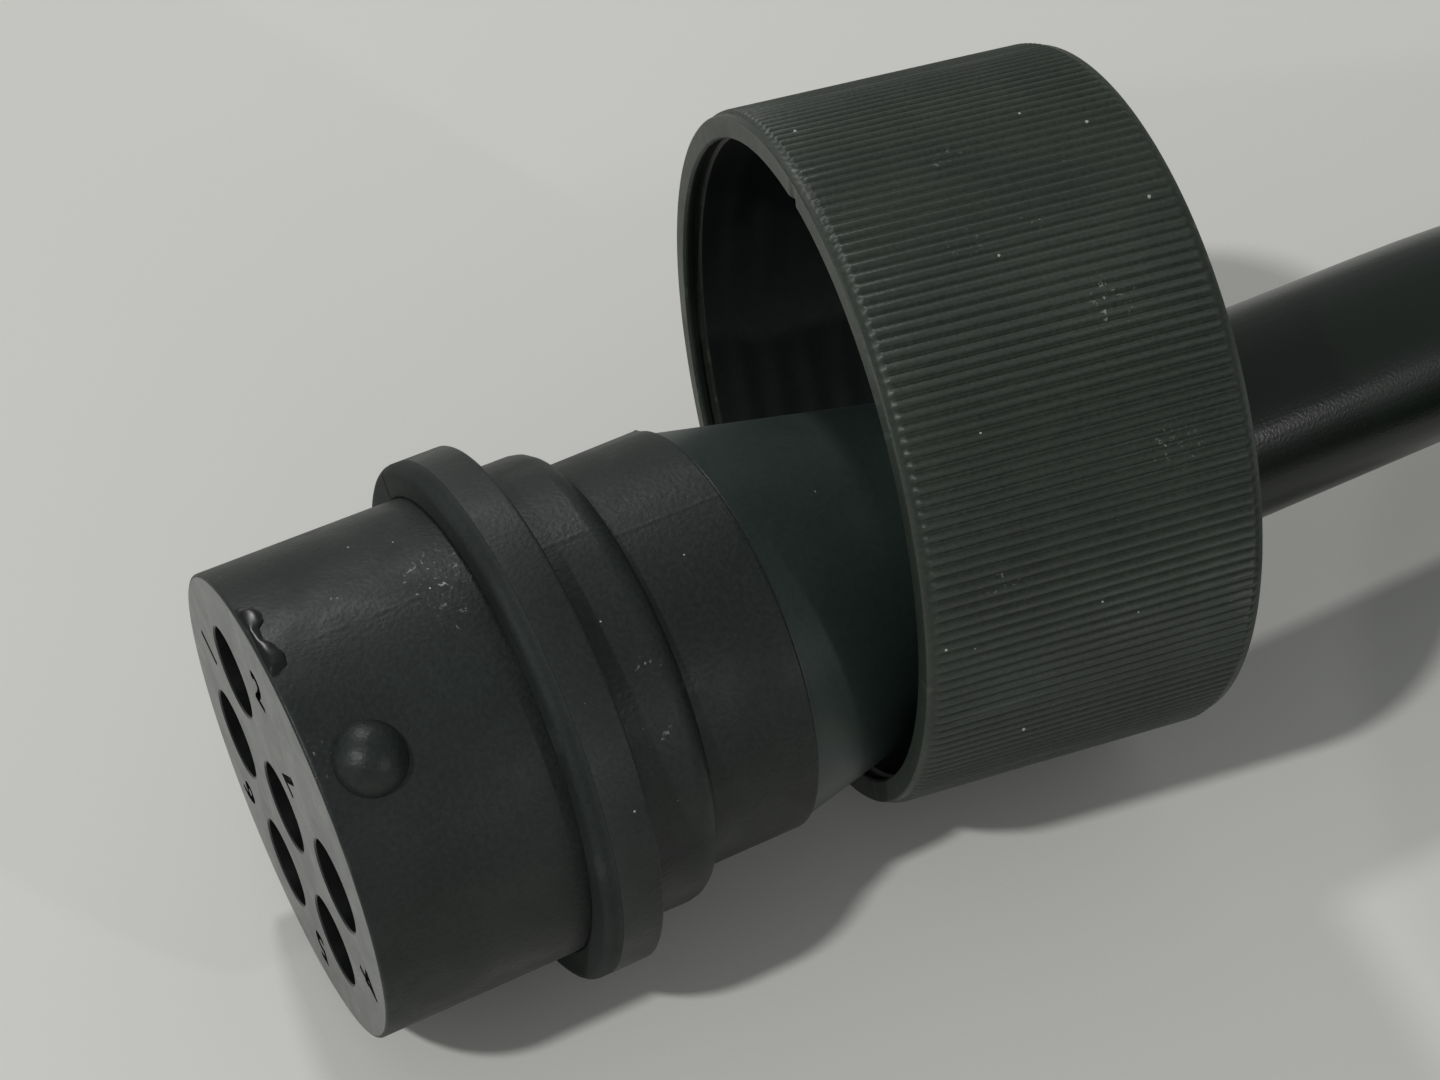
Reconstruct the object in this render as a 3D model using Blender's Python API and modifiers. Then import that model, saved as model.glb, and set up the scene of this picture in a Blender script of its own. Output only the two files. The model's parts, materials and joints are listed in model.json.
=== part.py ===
"""Multi-pole cable plug with a loose coupling nut, a moulded strain relief and a coiled cable."""

from math import atan2, cos, pi, radians, sin, sqrt, tan

import bmesh
import bpy
from mathutils import Vector

MM = 0.001
GAP = 0.3 * MM  # left between pieces that touch

# Plug housing. Stations run along the plug's axis from its mating face; radii are from that axis.
SHELL_R = 17.9 * MM
FLANGE_R = 20.37 * MM
BODY_R = 16.15 * MM
SEAL_START = 15.72 * MM
SEAL_THICKNESS = 1.0 * MM
FLANGE_END = 20.22 * MM
COLLAR_END = 26.4 * MM
COLLAR_ROUND = 1.5 * MM
BODY_END = 35.06 * MM
FACE_CHAMFER = 0.3 * MM
FACE_DEPTH = 18.0 * MM
CAVITY_R = 13.0 * MM
BUMP_STATION = 3.9 * MM
BUMP_ANGLE = 124.0
BUMP_R = 2.7 * MM
BUMP_SINK = 0.5 * MM

# Contacts: five on a circle with a sixth place left blank, and one in the middle.
HOLE_R = 3.5 * MM
PITCH_R = 10.4 * MM
FIRST_ANGLE = -15.7
POLE_STEP = 60.0
BLANK_POLE = 3
CENTRE_POLE = 7
POLES = [number for number in range(1, 8) if number != BLANK_POLE]
CONTACT_START = 5.0 * MM
CONTACT_R = 3.1 * MM
SLEEVE_BORE_R = 2.3 * MM
SLEEVE_DEPTH = 9.0 * MM
SHOULDER_END = 17.7 * MM
BARREL_R = 2.4 * MM
BARREL_BORE_R = 1.9 * MM
BARREL_DEPTH = 6.0 * MM
BARREL_END = 22.5 * MM
SLOT_WIDTH = 0.8 * MM
SLOT_DEPTH = 6.0 * MM
RETAINER_THICKNESS = 2.0 * MM

# Cable, its cores, and the moulding that holds it.
CABLE_R = 8.5 * MM
SHEATH_BORE_R = 6.65 * MM
SHEATH_START = 33.0 * MM
CORE_R = 1.7 * MM
CORE_LAY_R = 4.6 * MM
CONE_START_R = 15.8 * MM
CONE_END_R = 9.5 * MM
CONE_END = 64.0 * MM
SPIGOT_START = 28.5 * MM
SPIGOT_BORE_R = 11.3 * MM
SPIGOT_FLOOR = 32.0 * MM
GRIP_START = 36.0 * MM
GRIP_LENGTH = 6.0 * MM
GRIP_WALL = 1.0 * MM

# Coupling nut. Heights run along its own axis from its rim.
NUT_R = 27.3 * MM
NUT_LENGTH = 25.9 * MM
NUT_BORE_R = 26.05 * MM
NUT_WALL = 3.2 * MM
NUT_HOLE_R = 19.1 * MM
NUT_CHAMFER = 0.8 * MM
NUT_RIM_CHAMFER = 0.6 * MM
NUT_STATION = 45.5 * MM
NUT_OFFSET_Y = 6.86 * MM
NUT_YAW = radians(8.75)
WASHER_BORE_R = 19.3 * MM
WASHER_R = 24.9 * MM
WASHER_THICKNESS = 1.0 * MM
WASHER_START = NUT_LENGTH - NUT_WALL - GAP - WASHER_THICKNESS

# Cable route: straight out of the cone, down, and into a flat two-turn coil held by two ties.
TIE_THICKNESS = 1.0 * MM
TIE_WIDTH = 9.0 * MM
TIE_ANGLES = (120.0, 240.0)
COIL_HEIGHT = TIE_THICKNESS + GAP + CABLE_R
COIL_STATION = 183.0 * MM
COIL_OUTER_R = 103.5 * MM
COIL_PITCH = 17.3 * MM
COIL_TURNS = 2
RUN_ROUTE = (
    (64.3 * MM, 20.37 * MM),
    (72.0 * MM, 20.37 * MM),
    (80.0 * MM, 20.37 * MM),
    (88.0 * MM, 20.37 * MM),
    (97.0 * MM, 20.35 * MM),
    (106.0 * MM, 20.15 * MM),
    (114.0 * MM, 19.65 * MM),
    (122.0 * MM, 18.85 * MM),
)
TAIL_REACH = 38.0 * MM
TAIL_FIRST_Y = -40.5 * MM
TAIL_SPACING = 6.0 * MM
TAIL_HEADING = radians(-38.0)
TAIL_HEIGHT = 2.0 * MM
FERRULE_R = 1.2 * MM
FERRULE_LENGTH = 9.0 * MM

# The origin stands under the middle of the plug and its nut, on the surface they lie on.
NUT_BACK_X = NUT_STATION + NUT_LENGTH * cos(NUT_YAW) + (NUT_R - NUT_CHAMFER) * sin(NUT_YAW)
NUT_HIGH_Y = NUT_OFFSET_Y - NUT_RIM_CHAMFER * sin(NUT_YAW) + NUT_R * cos(NUT_YAW)
NUT_LOW_Y = NUT_OFFSET_Y - (NUT_LENGTH - NUT_CHAMFER) * sin(NUT_YAW) - NUT_R * cos(NUT_YAW)
FACE_CENTRE = Vector((-NUT_BACK_X / 2, -(NUT_HIGH_Y + NUT_LOW_Y) / 2, FLANGE_R))
NUT_RIM_CENTRE = Vector((FACE_CENTRE.x + NUT_STATION, FACE_CENTRE.y + NUT_OFFSET_Y, NUT_R))
COIL_CENTRE = Vector((FACE_CENTRE.x + COIL_STATION, FACE_CENTRE.y - COIL_OUTER_R, COIL_HEIGHT))

FINISHES = {
    "black_nylon": ((0.018, 0.020, 0.019, 1), 0.42, 0.0),
    "seal_rubber": ((0.014, 0.016, 0.015, 1), 0.62, 0.0),
    "natural_nylon": ((0.62, 0.60, 0.54, 1), 0.45, 0.0),
    "washer_acetal": ((0.016, 0.017, 0.017, 1), 0.40, 0.0),
    "contact_brass": ((0.72, 0.56, 0.26, 1), 0.28, 1.0),
    "cone_pvc": ((0.012, 0.014, 0.013, 1), 0.50, 0.0),
    "cable_rubber": ((0.010, 0.011, 0.011, 1), 0.40, 0.0),
    "core_pvc": ((0.40, 0.40, 0.42, 1), 0.45, 0.0),
    "tinned_copper": ((0.78, 0.77, 0.74, 1), 0.30, 1.0),
    "tie_fabric": ((0.03, 0.03, 0.03, 1), 0.85, 0.0),
}


def clear_scene():
    for old in list(bpy.data.objects):
        bpy.data.objects.remove(old, do_unlink=True)


def new_collection(name):
    collection = bpy.data.collections.new(name)
    bpy.context.scene.collection.children.link(collection)
    return collection


def finish(name):
    """Return the named finish's material."""
    material = bpy.data.materials.get(name)
    if material:
        return material
    colour, roughness, metallic = FINISHES[name]
    material = bpy.data.materials.new(name)
    material.use_nodes = True
    shader = material.node_tree.nodes["Principled BSDF"]
    shader.inputs["Base Color"].default_value = colour
    shader.inputs["Roughness"].default_value = roughness
    shader.inputs["Metallic"].default_value = metallic
    return material


def axis_empty(name, location, rotation=(0, 0, 0)):
    empty = bpy.data.objects.new(name, None)
    empty.location = location
    empty.rotation_euler = rotation
    empty.empty_display_size = 10 * MM
    parts.objects.link(empty)
    return empty


def keep_place(child, parent):
    """Parent a placed object to another without moving it."""
    bpy.context.view_layer.update()
    child.parent = parent
    child.matrix_parent_inverse = parent.matrix_world.inverted()


def turned(name, outline, steps, finish_name, parent=None, closed=True):
    """Turn (radius, height) points about local Z. Outer sides run from high to low."""
    count = len(outline)
    edges = [(index, index + 1) for index in range(count - 1)]
    if closed:
        edges.append((count - 1, 0))
    mesh = bpy.data.meshes.new(name)
    mesh.from_pydata([(radius, 0, height) for radius, height in outline], edges, [])
    piece = bpy.data.objects.new(name, mesh)
    mesh.materials.append(finish(finish_name))
    piece.parent = parent
    screw = piece.modifiers.new("Turn", "SCREW")
    screw.steps = steps
    screw.render_steps = steps
    screw.use_merge_vertices = True
    screw.merge_threshold = 0.00001
    screw.use_smooth_shade = True
    parts.objects.link(piece)
    return piece


def ring(name, inner, outer, low, high, steps, finish_name, parent):
    """Make a plain ring between two radii and two heights."""
    outline = [(outer, high), (outer, low), (inner, low), (inner, high)]
    return turned(name, outline, steps, finish_name, parent)


def quarter_arc(centre, radius, segments):
    """Points of a convex corner that runs from its top round to its outer side."""
    turns = [pi / 2 * (1 - step / segments) for step in range(segments + 1)]
    return [(centre[0] + radius * cos(turn), centre[1] + radius * sin(turn)) for turn in turns]


def cutter_cylinder(name, radius, low, high, place, parent):
    """Make a round cutter along its parent's Z, at a place across that axis."""
    bpy.ops.mesh.primitive_cylinder_add(vertices=12, radius=radius, depth=high - low)
    cutter = bpy.context.object
    cutter.name = name
    cutter.parent = parent
    cutter.location = (place[0], place[1], (low + high) / 2)
    hide_tool(cutter)
    return cutter


def cutter_box(name, size, location, rotation=(0, 0, 0), parent=None):
    """Make a box cutter with its scale applied."""
    bpy.ops.mesh.primitive_cube_add(size=1)
    cutter = bpy.context.object
    cutter.name = name
    for corner in cutter.data.vertices:
        corner.co = [value * side for value, side in zip(corner.co, size)]
    cutter.parent = parent
    cutter.location = location
    cutter.rotation_euler = rotation
    hide_tool(cutter)
    return cutter


def hide_tool(cutter):
    for collection in list(cutter.users_collection):
        collection.objects.unlink(cutter)
    cutters.objects.link(cutter)
    cutter.hide_render = True
    cutter.display_type = "WIRE"


def boolean(piece, tool, operation="DIFFERENCE"):
    modifier = piece.modifiers.new(operation.title(), "BOOLEAN")
    modifier.operation = operation
    modifier.object = tool


def evaluated_mesh(piece):
    """Return a plain mesh of an object as its modifiers leave it."""
    bpy.context.view_layer.update()
    graph = bpy.context.evaluated_depsgraph_get()
    return bpy.data.meshes.new_from_object(piece.evaluated_get(graph))


def tube(name, points, radius, finish_name, sides=2):
    """Make a round tube with filled ends along world points."""
    curve = bpy.data.curves.new(name, "CURVE")
    curve.dimensions = "3D"
    curve.bevel_depth = radius
    curve.bevel_resolution = sides
    curve.use_fill_caps = True
    spline = curve.splines.new("POLY")
    spline.points.add(len(points) - 1)
    for knot, point in zip(spline.points, points):
        knot.co = (*point, 1)
    curve.materials.append(finish(finish_name))
    piece = bpy.data.objects.new(name, curve)
    parts.objects.link(piece)
    return piece


def pole_place(number, circle_r):
    """A pole's world offset (y, z) from the plug's axis, on a circle of the given radius."""
    if number == CENTRE_POLE:
        return 0.0, 0.0
    angle = radians(FIRST_ANGLE + POLE_STEP * (number - 1))
    return circle_r * cos(angle), circle_r * sin(angle)


def local_place(world_place):
    """Turn a world (y, z) offset into the plug empty's own x and y."""
    return -world_place[1], world_place[0]


def make_housing(plug_axis):
    """Shell, contact block, flange, collar and rear body, moulded in one."""
    flange_start = SEAL_START + SEAL_THICKNESS + GAP
    collar_centre = (SHELL_R - COLLAR_ROUND, COLLAR_END - COLLAR_ROUND)
    outline = [(0, FACE_DEPTH), (CAVITY_R, FACE_DEPTH), (CAVITY_R, BODY_END), (BODY_R, BODY_END)]
    outline.append((BODY_R, COLLAR_END))
    outline += quarter_arc(collar_centre, COLLAR_ROUND, 2)
    outline += [(SHELL_R, FLANGE_END), (FLANGE_R, FLANGE_END), (FLANGE_R, flange_start)]
    outline += [(SHELL_R, flange_start), (SHELL_R, FACE_CHAMFER)]
    outline += [(SHELL_R - FACE_CHAMFER, 0), (0, 0)]
    housing = turned("plug_housing", outline, 48, "black_nylon", plug_axis, closed=False)
    for number in POLES:
        place = local_place(pole_place(number, PITCH_R))
        hole = cutter_cylinder(f"hole_{number}", HOLE_R, -MM, FACE_DEPTH + MM, place, plug_axis)
        boolean(housing, hole)
    boolean(housing, bump_tool(plug_axis), "UNION")


def bump_tool(plug_axis):
    """The ball whose cap stands out of the shell as a locating bump."""
    angle = radians(BUMP_ANGLE)
    reach = SHELL_R - BUMP_SINK
    bpy.ops.mesh.primitive_uv_sphere_add(segments=12, ring_count=8, radius=BUMP_R)
    ball = bpy.context.object
    ball.name = "bump_ball"
    ball.parent = plug_axis
    across = local_place((reach * cos(angle), reach * sin(angle)))
    ball.location = (*across, BUMP_STATION)
    hide_tool(ball)
    return ball


def make_seal(plug_axis):
    end = SEAL_START + SEAL_THICKNESS
    ring("flange_seal", SHELL_R + GAP, FLANGE_R, SEAL_START, end, 48, "seal_rubber", plug_axis)


def contact_outline():
    """Sleeve to the front, shoulder, and crimp barrel to the rear, from the mating face."""
    return [
        (0, BARREL_END - BARREL_DEPTH),
        (BARREL_BORE_R, BARREL_END - BARREL_DEPTH),
        (BARREL_BORE_R, BARREL_END),
        (BARREL_R, BARREL_END),
        (BARREL_R, SHOULDER_END),
        (CONTACT_R, SHOULDER_END),
        (CONTACT_R, CONTACT_START),
        (SLEEVE_BORE_R, CONTACT_START),
        (SLEEVE_BORE_R, CONTACT_START + SLEEVE_DEPTH),
        (0, CONTACT_START + SLEEVE_DEPTH),
    ]


def make_contacts(plug_axis):
    """One slotted contact, and its mesh on an object for each pole."""
    pattern = turned("contact_pattern", contact_outline(), 12, "contact_brass", closed=False)
    size = (3 * CONTACT_R, SLOT_WIDTH, 2 * SLOT_DEPTH)
    boolean(pattern, cutter_box("contact_slot", size, (0, 0, CONTACT_START)))
    mesh = evaluated_mesh(pattern)
    bpy.data.objects.remove(pattern, do_unlink=True)
    for number in POLES:
        contact = bpy.data.objects.new(f"socket_contact_{number}", mesh)
        contact.parent = plug_axis
        contact.location = (*local_place(pole_place(number, PITCH_R)), 0)
        parts.objects.link(contact)


def make_retainer(plug_axis):
    """Plate pressed in behind the contacts' shoulders."""
    low = FACE_DEPTH + GAP
    high = low + RETAINER_THICKNESS
    outline = [(0, high), (CAVITY_R - GAP, high), (CAVITY_R - GAP, low), (0, low)]
    plate = turned("contact_retainer", outline, 48, "natural_nylon", plug_axis, closed=False)
    for number in POLES:
        place = local_place(pole_place(number, PITCH_R))
        radius = BARREL_R + GAP
        tool = cutter_cylinder(f"barrel_{number}", radius, low - MM, high + MM, place, plug_axis)
        boolean(plate, tool)


def make_cores():
    """Insulated cores, from the crimp barrels into the cable's sheath."""
    stations = (22.8, 24.3, 25.8, 27.4, 29.0, 30.6, 32.2, 34.0, 63.9)
    first, last = 24.3, 32.2
    for number in POLES:
        points = []
        for station in stations:
            part_way = min(max((station - first) / (last - first), 0), 1)
            ease = part_way * part_way * (3 - 2 * part_way)
            circle_r = PITCH_R + (CORE_LAY_R - PITCH_R) * ease
            y, z = pole_place(number, circle_r)
            points.append(FACE_CENTRE + Vector((station * MM, y, z)))
        tube(f"core_wire_{number}", points, CORE_R, "core_pvc")


def make_strain_relief(plug_axis):
    """Cone moulded on the cable, with a skirt in the housing and a groove round the grip."""
    start = BODY_END + GAP
    bore = CABLE_R + GAP
    groove_r = bore + GRIP_WALL + GAP
    groove_start = GRIP_START - GAP
    groove_end = GRIP_START + GRIP_LENGTH + GAP
    outline = [
        (CONE_END_R, CONE_END),
        (CONE_START_R, start),
        (CAVITY_R - GAP, start),
        (CAVITY_R - GAP, SPIGOT_START),
        (SPIGOT_BORE_R, SPIGOT_START),
        (SPIGOT_BORE_R, SPIGOT_FLOOR),
        (bore, SPIGOT_FLOOR),
        (bore, groove_start),
        (groove_r, groove_start),
        (groove_r, groove_end),
        (bore, groove_end),
        (bore, CONE_END),
    ]
    turned("strain_relief", outline, 48, "cone_pvc", plug_axis)


def make_cable_end(plug_axis):
    """The sheath's stripped end, and the ring crimped on it."""
    grip_end = GRIP_START + GRIP_LENGTH
    bore = CABLE_R + GAP
    ring("cable_grip", bore, bore + GRIP_WALL, GRIP_START, grip_end, 32, "contact_brass", plug_axis)
    inner = SHEATH_BORE_R
    ring("cable_sheath_end", inner, CABLE_R, SHEATH_START, CONE_END, 32, "cable_rubber", plug_axis)


def travel_axis():
    """Point, direction and angle of the turn that takes the loose nut to its seat."""
    loose_heading = Vector((cos(NUT_YAW), -sin(NUT_YAW), 0))
    seat_heading = Vector((1, 0, 0))
    seat_station = FLANGE_END + GAP - WASHER_START
    seat = FACE_CENTRE + Vector((seat_station, 0, 0))
    shift = seat - NUT_RIM_CENTRE
    direction = -shift.cross(seat_heading - loose_heading).normalized()
    before = loose_heading - direction * loose_heading.dot(direction)
    after = seat_heading - direction * seat_heading.dot(direction)
    angle = atan2(direction.dot(before.cross(after)), before.dot(after))
    middle = (seat + NUT_RIM_CENTRE) / 2
    return middle + direction.cross(shift) / (2 * tan(angle / 2)), direction, angle


def make_nut():
    """Coupling nut, lying loose round the cone, and the slip washer inside its back wall."""
    point, direction, _ = travel_axis()
    travel = axis_empty("nut_travel_axis", point, direction.to_track_quat("Z", "Y").to_euler())
    nut_axis = axis_empty("nut_axis", NUT_RIM_CENTRE, (0, pi / 2, -NUT_YAW))
    keep_place(nut_axis, travel)
    wall = NUT_LENGTH - NUT_WALL
    outline = [
        (NUT_R - NUT_CHAMFER, NUT_LENGTH),
        (NUT_R, NUT_LENGTH - NUT_CHAMFER),
        (NUT_R, NUT_RIM_CHAMFER),
        (NUT_R - NUT_RIM_CHAMFER, 0),
        (NUT_BORE_R, 0),
        (NUT_BORE_R, wall),
        (NUT_HOLE_R, wall),
        (NUT_HOLE_R, NUT_LENGTH),
    ]
    turned("coupling_nut", outline, 72, "black_nylon", nut_axis)
    end = WASHER_START + WASHER_THICKNESS
    ring("slip_washer", WASHER_BORE_R, WASHER_R, WASHER_START, end, 48, "washer_acetal", nut_axis)


def stadium(inner, outer, half_height, segments):
    """Outline of a flat coil's section: round at both edges, from the inner top clockwise."""
    corners = []
    for centre, start in ((outer - half_height, pi / 2), (inner + half_height, -pi / 2)):
        for step in range(segments + 1):
            turn = start - pi * step / segments
            corners.append((centre + half_height * cos(turn), half_height * sin(turn)))
    return corners


def coil_limits():
    """Inner and outer radius of the coil over its cable."""
    inner = COIL_OUTER_R - COIL_PITCH * COIL_TURNS - CABLE_R
    return inner, COIL_OUTER_R + CABLE_R


def make_coil():
    """The coil's outer shape, open where its inmost turn ends."""
    inner, outer = coil_limits()
    outline = stadium(inner, outer, CABLE_R, 4)
    coil = turned("cable_coil", outline, 64, "cable_rubber")
    coil.location = COIL_CENTRE
    reach = TAIL_REACH + FERRULE_LENGTH + 18 * MM
    width = COIL_PITCH + 44 * MM
    middle_y = COIL_CENTRE.y + inner + COIL_PITCH - width / 2 - 0.6 * MM
    location = (COIL_CENTRE.x + reach / 2, middle_y, COIL_HEIGHT)
    boolean(coil, cutter_box("coil_end_notch", (reach, width, 4 * CABLE_R), location))


def make_ties():
    """Two straps round the coil's section."""
    inner, outer = coil_limits()
    for index, angle in enumerate(TIE_ANGLES, start=1):
        name = f"coil_tie_{index}"
        curve = bpy.data.curves.new(name, "CURVE")
        curve.dimensions = "2D"
        curve.fill_mode = "BOTH"
        curve.extrude = TIE_WIDTH / 2
        for margin in (GAP + TIE_THICKNESS, GAP):
            outline = stadium(inner - margin, outer + margin, CABLE_R + margin, 8)
            spline = curve.splines.new("POLY")
            spline.points.add(len(outline) - 1)
            for knot, (across, up) in zip(spline.points, outline):
                knot.co = (across, up, 0, 1)
            spline.use_cyclic_u = True
        curve.materials.append(finish("tie_fabric"))
        strap = bpy.data.objects.new(name, curve)
        strap.location = COIL_CENTRE
        strap.rotation_euler = (pi / 2, 0, pi / 2 - radians(angle))
        parts.objects.link(strap)


def make_cable_run():
    points = [FACE_CENTRE + Vector((station, 0, height - FLANGE_R)) for station, height in RUN_ROUTE]
    tube("cable_run", points, CABLE_R, "cable_rubber")


def bezier(first, second, third, last, count):
    """Points of a cubic curve."""
    steps = [step / (count - 1) for step in range(count)]
    points = []
    for t in steps:
        s = 1 - t
        points.append(first * s**3 + second * 3 * s * s * t + third * 3 * s * t * t + last * t**3)
    return points


def make_tails():
    """Cores stripped at the cable's far end, fanned on the surface, each with a ferrule."""
    inner_turn = COIL_OUTER_R - COIL_PITCH * COIL_TURNS
    sheath_end = COIL_CENTRE + Vector((GAP, inner_turn, 0))
    heading = Vector((cos(TAIL_HEADING), sin(TAIL_HEADING), 0))
    order = sorted(POLES, key=lambda number: -pole_place(number, CORE_LAY_R)[0])
    for rank, number in enumerate(order):
        y, z = pole_place(number, CORE_LAY_R)
        start = sheath_end + Vector((0, y, z))
        far_y = FACE_CENTRE.y + TAIL_FIRST_Y - rank * TAIL_SPACING
        far_x = sheath_end.x + TAIL_REACH - rank * 1.5 * MM
        end = Vector((far_x, far_y, TAIL_HEIGHT))
        reach = (end - start).length
        near = start + Vector((reach * 0.4, 0, 0))
        points = bezier(start, near, end - heading * reach * 0.35, end, 9)
        tube(f"core_tail_{number}", points, CORE_R, "core_pvc")
        make_ferrule(number, end + heading * GAP, heading)


def make_ferrule(number, location, heading):
    tip = 0.7 * MM
    outline = [(0, FERRULE_LENGTH), (FERRULE_R * 0.8, FERRULE_LENGTH)]
    outline += [(FERRULE_R, FERRULE_LENGTH - tip), (FERRULE_R, 0), (0, 0)]
    ferrule = turned(f"core_ferrule_{number}", outline, 12, "tinned_copper", closed=False)
    ferrule.location = location
    ferrule.rotation_euler = heading.to_track_quat("Z", "Y").to_euler()


def main():
    plug_axis = axis_empty("plug_axis", FACE_CENTRE, (0, pi / 2, 0))
    make_housing(plug_axis)
    make_seal(plug_axis)
    make_contacts(plug_axis)
    make_retainer(plug_axis)
    make_cores()
    make_strain_relief(plug_axis)
    make_cable_end(plug_axis)
    make_nut()
    make_cable_run()
    make_coil()
    make_ties()
    make_tails()


clear_scene()
parts = new_collection("solar_cable_connector")
cutters = new_collection("cutters")
main()
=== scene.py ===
import json
from math import atan2, ceil, cos, pi, radians, sin, tan, tau

import bmesh
import bpy
from mathutils import Matrix, Vector, noise


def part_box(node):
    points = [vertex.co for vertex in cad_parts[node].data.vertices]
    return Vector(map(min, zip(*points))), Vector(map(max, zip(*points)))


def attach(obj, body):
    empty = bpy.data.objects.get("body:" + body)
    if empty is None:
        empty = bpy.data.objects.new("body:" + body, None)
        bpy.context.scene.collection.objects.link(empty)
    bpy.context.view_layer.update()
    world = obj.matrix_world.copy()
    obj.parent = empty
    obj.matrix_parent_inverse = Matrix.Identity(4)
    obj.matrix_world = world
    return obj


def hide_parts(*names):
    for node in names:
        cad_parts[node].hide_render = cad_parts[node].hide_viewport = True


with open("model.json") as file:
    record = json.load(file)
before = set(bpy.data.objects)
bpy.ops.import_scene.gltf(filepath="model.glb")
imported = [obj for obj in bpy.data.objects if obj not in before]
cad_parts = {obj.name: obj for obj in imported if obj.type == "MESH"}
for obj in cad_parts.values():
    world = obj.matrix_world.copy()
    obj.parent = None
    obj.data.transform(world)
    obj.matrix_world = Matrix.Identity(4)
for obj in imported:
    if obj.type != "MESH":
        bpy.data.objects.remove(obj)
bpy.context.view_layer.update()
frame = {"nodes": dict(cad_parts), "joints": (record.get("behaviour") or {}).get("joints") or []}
mm = 0.001
sharpAngle = radians(32)  # edges that turn more than this stay crisp
arcStep = radians(23)  # the largest turn between two points of a rounded corner
support = 0.15  # how far a support point stands from its rounded corner, in mm
nearly = 1e-7  # lengths in metres that differ by less count as the same


def toLinear(hexColour):
    values = [int(hexColour[place:place + 2], 16) / 255 for place in (1, 3, 5)]
    linear = [v / 12.92 if v <= 0.04045 else ((v + 0.055) / 1.055) ** 2.4 for v in values]
    return (*linear, 1.0)


def addNode(tree, kind, settings=None, inputs=None):
    node = tree.nodes.new(kind)
    for name, value in (settings or {}).items():
        setattr(node, name, value)
    for name, value in (inputs or {}).items():
        if isinstance(value, bpy.types.NodeSocket):
            tree.links.new(value, node.inputs[name])
        else:
            node.inputs[name].default_value = value
    return node


def smooth(value, low, high):
    part = min(max((value - low) / (high - low), 0), 1)
    return part * part * (3 - 2 * part)


def newPiece(name, mesh):
    piece = bpy.data.objects.new(name, mesh)
    bpy.context.scene.collection.objects.link(piece)
    return piece


def shade(mesh):
    mesh.shade_smooth()
    mesh.set_sharp_from_angle(angle=sharpAngle)


def faceOutwards(mesh):
    work = bmesh.new()
    work.from_mesh(mesh)
    bmesh.ops.remove_doubles(work, verts=work.verts, dist=nearly)
    if work.calc_volume(signed=True) < 0:
        bmesh.ops.reverse_faces(work, faces=work.faces)
    work.to_mesh(mesh)
    work.free()


def roundedOutline(corners, closed=False):
    # corners are (radius, station, rounding) in mm; a support point beside each arc keeps flats flat
    points = []
    count = len(corners)
    for index, (radius, station, rounding) in enumerate(corners):
        here = Vector((radius, station))
        inner = closed or 0 < index < count - 1
        if not inner or rounding <= 0:
            points.append(here)
            continue
        before = Vector(corners[index - 1][:2]) - here
        after = Vector(corners[(index + 1) % count][:2]) - here
        opening = before.angle(after)
        reach = rounding / tan(opening / 2)
        centre = here + (before.normalized() + after.normalized()).normalized() * rounding / sin(opening / 2)
        first = here + before.normalized() * reach
        last = here + after.normalized() * reach
        steps = max(2, ceil((pi - opening) / arcStep))
        if before.length > reach + 2 * support:
            points.append(first + before.normalized() * support)
        for step in range(steps + 1):
            spoke = (first - centre).slerp(last - centre, step / steps)
            points.append(centre + spoke * rounding)
        if after.length > reach + 2 * support:
            points.append(last + after.normalized() * support)
    return [(max(x, 0) * mm, y * mm) for x, y in points]


def latheMesh(name, outline, angles, closed=False, shift=None):
    # turns (radius, station) points about local Z; shift(radius, station, angle) moves a point out
    verts, rings, faces = [], [], []
    for radius, station in outline:
        spokes = angles if radius > nearly else [0.0]
        ring = []
        for angle in spokes:
            out = radius + (shift(radius, station, angle) if shift else 0.0)
            ring.append(len(verts))
            verts.append((out * cos(angle), out * sin(angle), station))
        rings.append(ring)
    count = len(angles)
    followers = rings[1:] + rings[:1] if closed else rings[1:]
    for first, second in zip(rings, followers):
        for index in range(count):
            after = (index + 1) % count
            corners = [first[index % len(first)], second[index % len(second)],
                       second[after % len(second)], first[after % len(first)]]
            corners = list(dict.fromkeys(corners))
            if len(corners) > 2:
                faces.append(corners)
    mesh = bpy.data.meshes.new(name)
    mesh.from_pydata(verts, [], faces)
    faceOutwards(mesh)
    return mesh


def evenAngles(steps):
    return [tau * step / steps for step in range(steps)]


def lathe(name, corners, place, steps=96, closed=False):
    mesh = latheMesh(name, roundedOutline(corners, closed), evenAngles(steps), closed)
    mesh.transform(place)
    shade(mesh)
    return newPiece(name, mesh)


def frozenMesh(piece):
    bpy.context.view_layer.update()
    graph = bpy.context.evaluated_depsgraph_get()
    return bpy.data.meshes.new_from_object(piece.evaluated_get(graph))


def carve(piece, tool, operation="DIFFERENCE"):
    cut = piece.modifiers.new("Carve", "BOOLEAN")
    cut.operation = operation
    cut.solver = "EXACT"
    cut.object = tool
    mesh = frozenMesh(piece)
    piece.modifiers.clear()
    piece.data = mesh
    bpy.data.objects.remove(tool, do_unlink=True)


def mend(mesh):
    # closes the slivers that a cut can leave
    gap, sliver = 0.004 * mm, 0.002 * mm
    work = bmesh.new()
    work.from_mesh(mesh)
    bmesh.ops.remove_doubles(work, verts=work.verts, dist=gap)
    bmesh.ops.dissolve_degenerate(work, edges=work.edges, dist=sliver)
    bmesh.ops.recalc_face_normals(work, faces=work.faces)
    work.to_mesh(mesh)
    work.free()


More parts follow.
